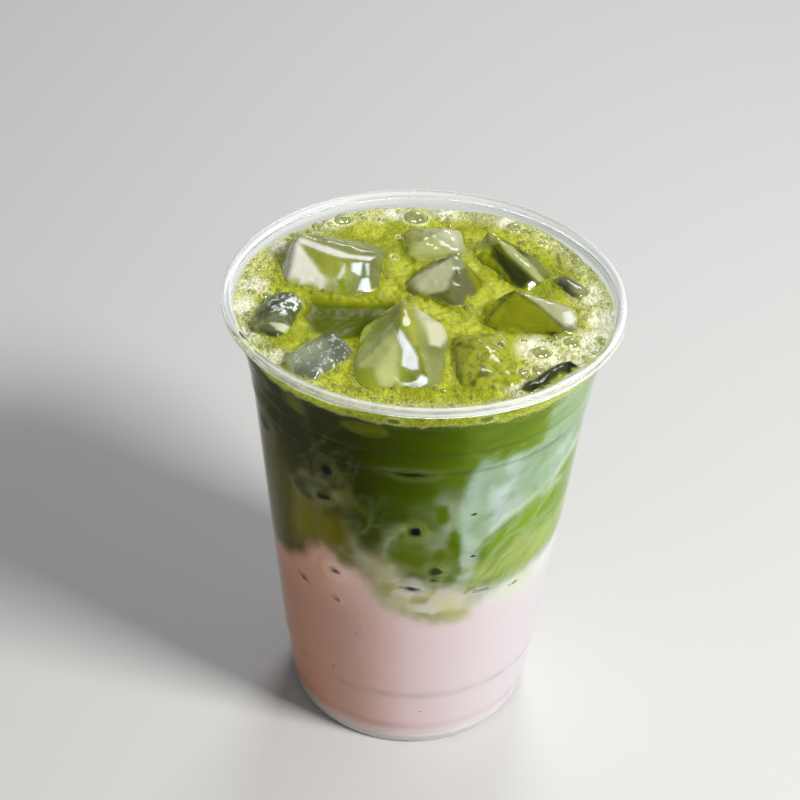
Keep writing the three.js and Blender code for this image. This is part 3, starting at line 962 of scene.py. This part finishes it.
def stroked(colour, points, flat):
    spread = 0.8 + 3.2 * cloudy(points, 5, 78)
    broken = soft(0.25, 0.75, noise(points, 3.1, 77)) * 0.75
    for wide, strength, tint, line in marble["strokes"]:
        away = lineDistance(flat, onSheet(line))
        colour = blend(colour, linear(tint), np.exp(-away / (wide * spread)) * strength * broken)
    return colour


# Sideways distance from an angle on the wall, in millimetres
def sideways(turn, angle, stretch):
    return ((turn - angle + 180) % 360 - 180) * marble["degree"] * stretch


# A pale ring round each larger lens below the foam
def ringed(colour, points, turn):
    for angle, height, wide, tall, tilt, tint in lenses["at"]:
        if wide < 1 or not lenses["haloFrom"] < height < lenses["haloTo"]:
            continue
        u, v, lean = sideways(turn, angle, 1.12), points[:, 2] - height, math.radians(tilt)
        across = u * math.cos(lean) + v * math.sin(lean)
        up = v * math.cos(lean) - u * math.sin(lean)
        away = np.hypot(across / (wide * 1.35 + 0.6), up / (tall * 1.5 + 0.7))
        share = hump(away + 0.5 * (noise(points, 2.6, 76) - 0.5), 1, 0.36) * lenses["halo"]
        colour = blend(colour, colour * 1.25 + linear(lenses["haloColour"]), share)
    return colour


# The band of foam at the wall, with hints of drips below it and rings round the bubbles in it
def frothed(colour, points, turn, even):
    froth, heights = marble["froth"], points[:, 2]
    level = froth["height"] + 4.0 * (cloudy(points * (1, 1, 0), 9, 91) - 0.5)
    level = level + (noise(points, 1.6, 92) - 0.5)
    for angle, height, wide, tall in marble["drips"]:
        away = np.hypot((even[:, 0] - angle * marble["degree"]) / wide, (heights - height) / tall)
        hint = soft(1.3, 0.2, away + 0.5 * (noise(points, 2, 93) - 0.5))
        colour = blend(colour, linear(froth["drip"]), hint * 0.55)
        rim = hump(away + 0.5 * (noise(points, 2.5, 95) - 0.5), 1, 0.16)
        colour = blend(colour, linear(froth["dripRim"]), rim * 0.14)
    tint = blend(linear(froth["colour"]), linear(froth["cream"]), soft(20, 70, turn) * 0.6)
    tint = np.minimum(tint * (1 + 0.7 * soft(-5, -40, turn))[:, None], 0.95)
    dots = soft(0.68, 0.8, noise(points, 0.75, 94)) * froth["dots"]
    tint = blend(tint, linear(froth["dotColour"]), dots)
    colour = blend(colour, tint, soft(-froth["edge"], froth["edge"], heights - level))
    for angle, height, wide, tall, tilt, tint in lenses["at"]:
        if height > lenses["haloTo"]:
            away = np.hypot(sideways(turn, angle, 1.15) / wide, (heights - height) / tall)
            colour = blend(colour, linear(lenses["rimColour"]), hump(away, 1.25, 0.25) * 0.8)
    return blend(colour, linear(froth["line"]), hump(heights, level, 0.4) * 0.55)


def wallColour(points):
    turn, even, flat = flatWall(points)
    heights, side = points[:, 2], flat[:, 0] / marble["degree"]
    colour = ramp(marble["greens"], side)
    for area in marble["areas"]:
        colour = layArea(colour, points, flat, area)
    flow = flowOf(points, flat)
    colour = threaded(mottled(colour, points), points, flow, side)
    # the milk is brighter at the upper left
    tone = side * (1 - 0.7 * soft(80, 150, np.abs(turn)))
    lit = 1 + 0.3 * soft(40, 62, heights) * soft(-5, -30, tone)
    milk = np.minimum(ramp(marble["pinks"], tone) * lit[:, None], 0.95)
    edge = marble["milk"]["edge"]
    colour = blend(colour, milk, soft(-edge, edge, depthInside(flat, onSheet(marble["milk"]["at"]))))
    for area in marble["wisps"]:
        colour = layArea(colour, points, flat, area)
    streak = (cloudy(flow, 2.6, 71) - 0.5) * soft(46, 64, heights)
    colour = colour * (1 + 0.45 * streak)[:, None]
    colour = stroked(colour, points, even + (flat - even) * marble["eased"])
    colour = ringed(colour, points, turn)
    # painted shade: thin darker lines where the cup's steps run round the wall
    for height, strength in marble["stepShadeLines"]:
        colour = colour * (1 - strength * hump(heights, height, 0.45))[:, None]
    return frothed(colour, points, turn, even)


def drinkMaterial(name, roughness, grain):
    shader = Shader(name)
    speckle = shader.node("ShaderNodeTexNoise", Vector=shader.spot(), Scale=700.0, Detail=2.0)
    level = shader.math("MULTIPLY_ADD", speckle.outputs[0], grain, 1 - grain / 2)
    colour = shader.shaded(shader.attribute("tint", "Color"), level)
    body = shader.surface("Principled", Base_Color=colour, Roughness=roughness, IOR=drink["bend"],
                          Specular_IOR_Level=0.0)
    return shader.finish(body)


def turnsOf(steps):
    return np.linspace(0, 2 * math.pi, steps, endpoint=False)


def ringAt(heights, radius, turns):
    tall = np.broadcast_to(heights, turns.shape)
    return np.stack([radius * np.sin(turns), -radius * np.cos(turns), tall], 1)


def skin(name, rings, steps, first, last):
    points = np.vstack([[first], *rings, [last]])
    mesh = meshFrom(name, points, ringFaces(len(rings) + 2, steps))
    outward(mesh)
    return mesh


def buildMilk():
    turns = turnsOf(drink["steps"])
    top = interfaceHeight(turns, 1)
    floor = drink["floor"]
    rings = [ringAt(floor, contentsRadius(floor) * share, turns) for share in (0.5, 0.98)]
    for rise in np.concatenate([np.linspace(0, 0.6, 22)[:-1], np.linspace(0.6, 1, 50)]):
        z = floor + (top - floor) * rise
        rings.append(ringAt(z, contentsRadius(z), turns))
    for share in (0.9, 0.6, 0.3):
        rings.append(ringAt(interfaceHeight(turns, share), contentsRadius(top) * share, turns))
    mesh = skin("milkPink", rings, drink["steps"], (0, 0, floor), (0, 0, drink["interface"]["mean"]))
    paint(mesh, "tint", wallColour(pointsOf(mesh)))
    smoothed(mesh, 40)
    addPiece("milkPink", mesh, drinkMaterial("pinkMilk", 0.35, 0.02), ["milk_layer"])
    print("stage milk", len(mesh.polygons))


# Colour inside a pocket, by the block that stands in it and by how deep it is: darker with depth, as painted
# shade under the ice
def pocketColour(points, colour, where):
    chosen = np.flatnonzero(where)
    if len(chosen) == 0:
        return colour
    nearest = np.full(len(chosen), 1e9)
    owner = np.zeros(len(chosen), int)
    for index, tree in enumerate(iceTrees):
        for i, place in enumerate(points[chosen]):
            found = tree.find_nearest(Vector(place), float(nearest[i]))
            if found[3] is not None and found[3] < nearest[i]:
                nearest[i], owner[i] = found[3], index
    pockets = [block["pocket"] for block in ice["blocks"].values()]
    tops, shadedDeeps = (np.array([linear(pocket[k]) for pocket in pockets]) for k in (0, 1))
    sunk = soft(0, drink["pocketDepth"], drink["foamLevel"] - points[chosen, 2])[:, None]
    mottle = 0.75 + 0.5 * cloudy(points[chosen], 5, 41)
    colour[chosen] = (tops[owner] * (1 - sunk) + shadedDeeps[owner] * sunk) * mottle[:, None]
    return colour


def buildMatcha():
    turns = turnsOf(drink["steps"])
    low, high = interfaceHeight(turns, 1), drink["foamBottom"]
    rings = []
    for share in (0.3, 0.6, 0.9):
        rings.append(ringAt(interfaceHeight(turns, share), contentsRadius(low) * share, turns))
    for rise in np.linspace(0, 1, drink["matchaRings"]):
        z = low + (high - low) * rise
        rings.append(ringAt(z, contentsRadius(z), turns))
    for share in (0.8, 0.4):
        rings.append(ringAt(high, contentsRadius(high) * share, turns))
    mesh = skin("matchaGreen", rings, drink["steps"], (0, 0, drink["interface"]["mean"]), (0, 0, high))
    mesh = cutAway(mesh, pocketTool.copy(), "matchaGreen")
    points = pointsOf(mesh)
    radius, wall = reachOf(points), contentsRadius(points[:, 2])
    inside = (radius < wall - 0.05) & (points[:, 2] > interfaceHeight(turnOf(points), radius / wall) + 2)
    paint(mesh, "tint", pocketColour(points, wallColour(points), inside))
    smoothed(mesh, 40)
    addPiece("matchaGreen", mesh, drinkMaterial("matchaMilk", 0.3, 0.04), ["matcha_layer"])
    print("stage matcha", len(mesh.polygons))


buildMilk()
buildMatcha()


# Foam: mounds, a collar where it clings to the ice, a smooth pool, and bubbles that press into it
foam = {
    "steps": 400, "rings": 118, "mound": 0.5, "moundSize": 4.5, "curd": 0.22, "curdSize": 1.1,
    "collar": 0.45, "collarReach": 0.8, "poolDrop": 0.7, "roughness": 0.38,
    "poolAt": [
        (-30, -6), (-27, 1), (-16, 0), (-8, 2), (-7, -6), (-9, -10), (-13, -13), (-20, -15), (-26, -13),
    ],
    "colour": (174, 180, 48), "thin": (140, 148, 6), "cream": (234, 233, 208), "pool": (78, 88, 2),
    "deep": (122, 131, 4), "shadeNearIce": (112, 122, 6),
    "bubbleFloor": (182, 186, 134), "bubbleRim": (228, 230, 170),
    "creamAt": [
        ((45, -2), 7), ((41, -13), 9), ((33, -23), 9), ((27, -16), 6), ((40, 8), 6), ((23, -33), 4),
        ((-44, -4), 4.5), ((-41, -15), 5), ((-42, 5), 4.5), ((-34, -25), 4), ((-37, 24), 4), ((-25, 37), 4),
        ((-9, 43), 4), ((5, 44), 4), ((20, 40), 3.5),
    ],
    "deepAt": [((-12, 13), 6), ((-24, 0), 8), ((-8, 1), 6), ((10, -1), 5), ((30, 8), 5), ((-4, 24), 5)],
}
# Large bubbles have a middle and a radius; small ones are strewn, between two sizes
bubbles = {
    "large": [
        ((-3.2, 41.2), 2.9), ((-21.7, 38.2), 2.3), ((22.1, 36.9), 1.8), ((29.1, 30.2), 1.2),
        ((35.2, -12.3), 2.0), ((28.0, -17.6), 2.3), ((23.6, -25.9), 1.3), ((27.2, -25.2), 1.7),
        ((-41.9, 2.1), 1.1), ((-38.1, 1.1), 1.2), ((-28.3, 34.7), 1.3), ((-16.5, 39.2), 0.9),
        ((-12.1, 38.9), 1.1), ((23.9, -12.4), 0.9), ((28.6, -12.0), 0.8), ((-7.9, 21.8), 0.9),
        ((-7.2, 31.4), 0.8), ((40.5, -16.5), 0.9), ((31.5, -13.5), 0.8), ((-42.5, -9.5), 0.9),
    ],
    "seed": 12, "spacing": 0.00095, "density": 900000.0, "small": 0.22, "big": 0.9,
    "rise": 0.62, "domeSteps": 24, "pale": (216, 219, 150), "shine": (250, 250, 246),
    "smallFilm": (0.06, (243, 245, 220)), "largeFilm": (0.16, (242, 244, 228)),
}


def iceDistance(points):
    nearest = np.full(len(points), 99.0)
    for tree in iceTrees:
        for i, place in enumerate(points):
            found = tree.find_nearest(Vector(place), float(min(nearest[i], 6)))
            if found[3] is not None:
                nearest[i] = found[3]
    return nearest


def poolShare(points):
    sway = 1.5 * (noise(points * (1, 1, 0), 4, 55)[:, None] - 0.5)
    return soft(-1.8, 1.6, depthInside(points[:, :2] + sway, foam["poolAt"]))


def foamRelief(points):
    base, pool = points * (1, 1, 0), poolShare(points)
    lift = foam["mound"] * (cloudy(base, foam["moundSize"], 61) - 0.5) * 2
    lift = lift + foam["curd"] * (noise(base, foam["curdSize"], 62) - 0.5) * 2
    lift = lift * (1 - 0.85 * pool) - foam["poolDrop"] * pool
    lift = lift + foam["collar"] * np.exp(-iceDistance(points) / foam["collarReach"])
    for (x, y), radius in bubbles["large"]:
        away = reachOf(points, x, y)
        lift = np.where(away < radius * 1.6, lift * soft(radius * 0.8, radius * 1.6, away), lift)
        lift = lift + 0.3 * hump(away, radius * 1.1, 0.35)
        lift = lift - 0.5 * radius * np.clip(1 - (away / radius) ** 2, 0, 1) ** 0.5
    return lift


def foamColour(points, near):
    base, pool = points * (1, 1, 0), poolShare(points)
    thin = soft(0.42, 0.62, cloudy(base, 7, 81)) * 0.8
    colour = blend(linear(foam["colour"]), linear(foam["thin"]), thin)
    wobble = cloudy(base, 4, 82) - 0.5
    cream = soft(38, 45, reachOf(points) + 5 * wobble) * 0.4
    for (x, y), radius in foam["creamAt"]:
        cream = np.maximum(cream, soft(1.25, 0.35, reachOf(points, x, y) / radius + wobble * 0.8))
    for (x, y), radius in foam["deepAt"]:
        share = soft(1.3, 0.3, reachOf(points, x, y) / radius + wobble)
        colour = blend(colour, linear(foam["deep"]), share * 0.7)
    colour = blend(colour, linear(foam["cream"]), cream * 0.9)
    colour = blend(colour, linear(foam["pool"]), pool * 0.95)
    # painted shade: the froth darkens close to the ice
    colour = blend(colour, linear(foam["shadeNearIce"]), np.exp(-near / 0.8) * 0.5)
    for (x, y), radius in bubbles["large"]:
        away = reachOf(points, x, y) / radius
        colour = blend(colour, linear(foam["bubbleFloor"]), soft(1.05, 0.8, away) * 0.8)
        colour = blend(colour, linear(foam["bubbleRim"]), hump(away, 1.15, 0.16) * 0.75)
    grain = noise(points, 0.8, 83) - 0.5
    return colour * (1 + 0.24 * grain * (1 - pool))[:, None]


# Froth has two sizes of cells that dent and darken it, and the pool has none
def foamMaterial():
    shader = Shader("matchaFroth")
    tint, froth = shader.attribute("tint", "Color"), shader.attribute("froth", "Fac")
    spot, cells = shader.spot(), []
    for scale in (1500.0, 3400.0):
        cells.append(shader.node("ShaderNodeTexVoronoi", Vector=spot, Scale=scale).outputs["Distance"])
    height = shader.math("ADD", cells[0], shader.math("MULTIPLY", cells[1], 0.5))
    height = shader.math("MULTIPLY", height, froth)
    bump = shader.node("ShaderNodeBump", Height=height, Strength=0.55, Distance=0.0005)
    depth = shader.math("SUBTRACT", 0.55, cells[0])
    dark = shader.math("MULTIPLY", depth, shader.math("MULTIPLY", froth, 0.62))
    colour = shader.shaded(tint, shader.math("SUBTRACT", 1.12, dark))
    body = shader.surface("Principled", Base_Color=colour, Roughness=foam["roughness"], IOR=drink["bend"],
                          Specular_IOR_Level=0.25, Normal=bump.outputs[0])
    still = shader.surface("Principled", Base_Color=tint, Roughness=0.2, IOR=drink["bend"],
                           Specular_IOR_Level=0.1)
    return shader.finish(shader.mix(froth, still, body))


def buildFoam():
    steps = foam["steps"]
    turns = turnsOf(steps)
    bottom, edge = drink["foamBottom"], foamHeight(turns, 1)
    rim = contentsRadius(edge)
    rings = [ringAt(bottom, contentsRadius(bottom) * share, turns) for share in (0.4, 0.8)]
    for rise in np.linspace(0, 1, 12)[:-1]:
        z = bottom + (edge - bottom) * rise
        rings.append(ringAt(z, contentsRadius(z), turns))
    firstTop = len(rings)
    for share in np.linspace(1, 0, foam["rings"])[:-1]:
        rings.append(ringAt(foamHeight(turns, share), rim * share, turns))
    points = np.vstack([[(0, 0, bottom)], *rings, [(0, 0, drink["foamLevel"])]])
    top = np.arange(len(points)) >= 1 + firstTop * steps
    points[top, 2] += foamRelief(points[top])
    radius = reachOf(points)
    outside = top & (radius > contentsRadius(points[:, 2]) - 0.02)
    points[outside, :2] *= (contentsRadius(points[outside, 2]) / radius[outside])[:, None]
    mesh = meshFrom("foamFroth", points, ringFaces(len(rings) + 2, steps))
    outward(mesh)
    whole = treeOf(mesh)
    mesh = cutAway(mesh, pocketTool.copy(), "foamFroth")
    points = pointsOf(mesh)
    onSkin = np.array([whole.find_nearest(Vector(place))[3] for place in points]) < 0.04
    radius = reachOf(points)
    side = radius > contentsRadius(points[:, 2]) - 0.05
    near = iceDistance(points)
    colour = foamColour(points, near)
    colour[side] = wallColour(points[side])
    colour = pocketColour(points, colour, ~onSkin)
    paint(mesh, "tint", colour)
    froth = (1 - poolShare(points)) * np.where(onSkin, 1, 0) * (0.5 + 0.5 * soft(22, 42, radius))
    paint(mesh, "froth", froth)
    free = froth * (points[:, 2] > bottom + 1.5) * (radius < contentsRadius(points[:, 2]) - 0.7)
    for (x, y), size in bubbles["large"]:
        free = free * (reachOf(points, x, y) > size + 0.5)
    wallward = 0.25 + 0.75 * soft(30, 42, radius)
    bunch = soft(0.4, 0.62, cloudy(points * (1, 1, 0), 6, 88))
    paint(mesh, "bubbleShare", free * np.clip(wallward * bunch + 0.5 * np.exp(-near / 1.5), 0.04, 1))
    smoothed(mesh, 60)
    addPiece("foamFroth", mesh, foamMaterial(), ["foam_layer"])
    print("stage foam", len(mesh.polygons))
    return mesh


foamMesh = buildFoam()


# Geometry Nodes: small bubbles strewn over the froth
def strewTree():
    sizes = dict.fromkeys(("Spacing", "Density", "Smallest", "Largest"), "Float")
    strew = Growth("strewBubbles", {**sizes, "Seed": "Int"})
    given = strew.given
    share = strew.add("GeometryNodeInputNamedAttribute", data_type="FLOAT")
    strew.fill(share, Name="bubbleShare")
    spots = strew.add("GeometryNodeDistributePointsOnFaces", distribute_method="POISSON")
    strew.fill(spots, Mesh=given["Geometry"], Distance_Min=given["Spacing"], Density_Max=given["Density"],
               Density_Factor=share.outputs["Attribute"], Seed=given["Seed"])
    ball = strew.node("GeometryNodeMeshUVSphere", Segments=10, Rings=6, Radius=mm)
    draw = strew.add("FunctionNodeRandomValue", data_type="FLOAT")
    strew.fill(draw, Seed=given["Seed"])
    drawn = strew.math("POWER", draw.outputs[1], 3.0)
    size = strew.node("ShaderNodeMapRange", Value=drawn, To_Min=given["Smallest"], To_Max=given["Largest"])
    place = strew.node("GeometryNodeInstanceOnPoints", Points=spots.outputs["Points"],
                       Instance=ball.outputs["Mesh"], Scale=size.outputs["Result"])
    return strew.finish(place.outputs[0])


# A bubble is clear in the middle, where it darkens the froth under it, and pale towards its rim, a painted
# reflection of the surround
def filmMaterial(name, hazeAndSheen, tint):
    shader = Shader(name)
    rim = shader.node("ShaderNodeLayerWeight", Blend=0.4).outputs
    clear = shader.surface("Transparent", Color=rgba(tint))
    pale = shader.surface("Diffuse", Color=rgba(bubbles["pale"]))
    shine = shader.surface("Glossy", Color=rgba(bubbles["shine"]), Roughness=0.08)
    edge = shader.math("MULTIPLY_ADD", shader.math("POWER", rim["Facing"], 1.6), 0.85, hazeAndSheen)
    gloss = shader.math("MULTIPLY_ADD", rim["Fresnel"], 0.5, 0.03)
    return shader.finish(shader.mix(gloss, shader.mix(edge, clear, pale), shine))


def domeRings(middle, radius, base):
    rings, steps, tall = [], bubbles["domeSteps"], radius * bubbles["rise"]
    turns = turnsOf(steps)
    for rise in np.radians((-35, -10, 15, 40, 62, 78)):
        ring = ringAt(base + tall * math.sin(rise), radius * math.cos(rise), turns)
        rings.append(ring + (middle[0], middle[1], 0))
    ends = [(middle[0], middle[1], base + tall * side) for side in (-0.7, 1)]
    return np.vstack([ends[:1], *rings, ends[1:]]), ringFaces(len(rings) + 2, steps)


def buildBubbles():
    film = filmMaterial("bubbleFilm", *bubbles["smallFilm"])
    domeFilm = filmMaterial("domeFilm", *bubbles["largeFilm"])
    values = {
        "Spacing": bubbles["spacing"], "Density": bubbles["density"], "Smallest": bubbles["small"],
        "Largest": bubbles["big"], "Seed": bubbles["seed"], "Material": film,
    }
    mesh = strewTree().grow(meshObject("smallBubbles", foamMesh.copy()), "smallBubbles", values)
    mesh.shade_smooth()
    addPiece("smallBubbles", mesh, film, [])
    points, faces = np.zeros((0, 3)), []
    for middle, radius in bubbles["large"]:
        spot = np.array([[middle[0], middle[1], 0]])
        share = np.hypot(*middle) / contentsRadius(117.5)
        base = float(foamHeight(turnOf(spot), share)[0])
        more, moreFaces = domeRings(middle, radius, base)
        faces += [tuple(i + len(points) for i in face) for face in moreFaces]
        points = np.vstack([points, more])
    domes = meshFrom("largeBubbles", points, faces)
    outward(domes)
    domes.shade_smooth()
    addPiece("largeBubbles", domes, domeFilm, [])
    print("stage bubbles", len(mesh.polygons), len(domes.polygons))


buildBubbles()


# A lens bulges at the wall and runs to a root behind it; each has a lobed outline of its own
def lensPoints(lens, random):
    angle, height, wide, tall, tilt, colour = lens
    rings, lean = lenses["rings"], math.radians(tilt)
    turns = turnsOf(lenses["steps"])
    lobes = 1
    for count in (2, 3, 4):
        lobe = lenses["lobe"] * random.uniform(-1, 1)
        lobes = lobes + lobe * np.sin(count * turns + random.uniform(0, 6.3))
    local = [(0, 0, 1.0)]
    shares = [(share, 1 - share ** 2) for share in np.linspace(0, 1, rings + 1)[1:]]
    shares.append((0.5, lenses["root"]))
    for share, stand in shares:
        for turn, lobe in zip(turns, lobes):
            u, v = wide * share * lobe * math.cos(turn), tall * share * lobe * math.sin(turn)
            across, up = u * math.cos(lean) - v * math.sin(lean), u * math.sin(lean) + v * math.cos(lean)
            local.append((across, up, stand))
    local.append((0, 0, lenses["root"]))
    points = []
    for across, up, stand in local:
        radius = contentsRadius(height + up) + lenses["stand"] * stand
        turn = math.radians(angle) + across / contentsRadius(height)
        points.append((radius * math.sin(turn), -radius * math.cos(turn), height + up))
    return np.array(points)


def buildLenses():
    points, faces, colours = np.zeros((0, 3)), [], []
    rings, steps = lenses["rings"], lenses["steps"]
    outer = np.repeat(np.linspace(0, 1, rings + 1)[1:], steps)
    edge = np.concatenate([[0], outer, np.ones(steps + 1)])
    for index, lens in enumerate(lenses["at"]):
        place = lensPoints(lens, np.random.default_rng(300 + index))
        faces += [tuple(len(points) + i for i in face) for face in ringFaces(rings + 3, steps)]
        points = np.vstack([points, place])
        inner = 0.5 if lens[1] > lenses["softBelow"] else 0.1
        dark = blend(linear(lens[-1]), wallColour(place), soft(inner, 1.0, edge))
        colours.append(dark * (1 + lenses["grain"] * (noise(place, 1.1, 301) - 0.5))[:, None])
    mesh = meshFrom("sunkIce", points, faces)
    outward(mesh)
    paint(mesh, "tint", np.vstack(colours))
    mesh.shade_smooth()
    addPiece("sunkIce", mesh, drinkMaterial("sunkIce", 0.25, 0.05), [])
    print("stage lenses", len(mesh.polygons))


buildLenses()


# Studio: a pale floor, a large soft light from the right, a weak one from behind and a pale surround
studio = {
    "floor": (214, 214, 212), "surround": (0.86, 0.88, 0.9), "surroundStrength": 0.2,
    "key": {"at": (0.66, -0.38, 0.72), "size": 0.27, "watts": 11.5, "colour": (1.0, 0.985, 0.96)},
    "fill": {"at": (0.12, 0.72, 0.74), "size": 0.3, "watts": 3.0, "colour": (0.95, 0.97, 1.0)},
    "aim": (0, 0, 0.07),
}
camera = {"at": (0, -0.3986, 0.381), "pitch": 36.22, "yaw": -0.72, "roll": 2.19, "lens": 89.01}


def addLamp(name, values):
    lamp = bpy.data.lights.new(name, "AREA")
    lamp.size, lamp.energy, lamp.color = values["size"], values["watts"], values["colour"]
    thing = meshObject(name, lamp)
    thing.location = values["at"]
    way = Vector(studio["aim"]) - Vector(values["at"])
    thing.rotation_euler = way.to_track_quat("-Z", "Y").to_euler()


def buildStudio():
    floor = bpy.data.meshes.new("floor")
    floor.from_pydata([(-3, -3, 0), (3, -3, 0), (3, 3, 0), (-3, 3, 0)], [], [(0, 1, 2, 3)])
    shader = Shader("paleFloor")
    matt = shader.surface("Principled", Base_Color=rgba(studio["floor"]), Roughness=0.6)
    floor.materials.append(shader.finish(matt))
    meshObject("floor", floor)
    for name in ("key", "fill"):
        addLamp(name, studio[name])
    world = bpy.data.worlds.new("surround")
    world.use_nodes = True
    back = world.node_tree.nodes["Background"]
    back.inputs["Color"].default_value = (*studio["surround"], 1)
    back.inputs["Strength"].default_value = studio["surroundStrength"]
    bpy.context.scene.world = world
    pitch, yaw, roll = (math.radians(camera[key]) for key in ("pitch", "yaw", "roll"))
    ahead = Vector((math.sin(yaw) * math.cos(pitch), math.cos(yaw) * math.cos(pitch), -math.sin(pitch)))
    right = ahead.cross(Vector((0, 0, 1))).normalized()
    upward = right.cross(ahead)
    rolledRight = right * math.cos(roll) + upward * math.sin(roll)
    rolledUp = upward * math.cos(roll) - right * math.sin(roll)
    eye = bpy.data.cameras.new("camera")
    eye.lens, eye.sensor_width, eye.clip_start = camera["lens"], 36, 0.01
    thing = meshObject("camera", eye)
    turn = Matrix((rolledRight, rolledUp, -ahead)).transposed().to_4x4()
    thing.matrix_world = Matrix.Translation(camera["at"]) @ turn
    bpy.context.scene.camera = thing
    bpy.context.scene.view_settings.view_transform = "Standard"
    print("stage studio")


buildStudio()

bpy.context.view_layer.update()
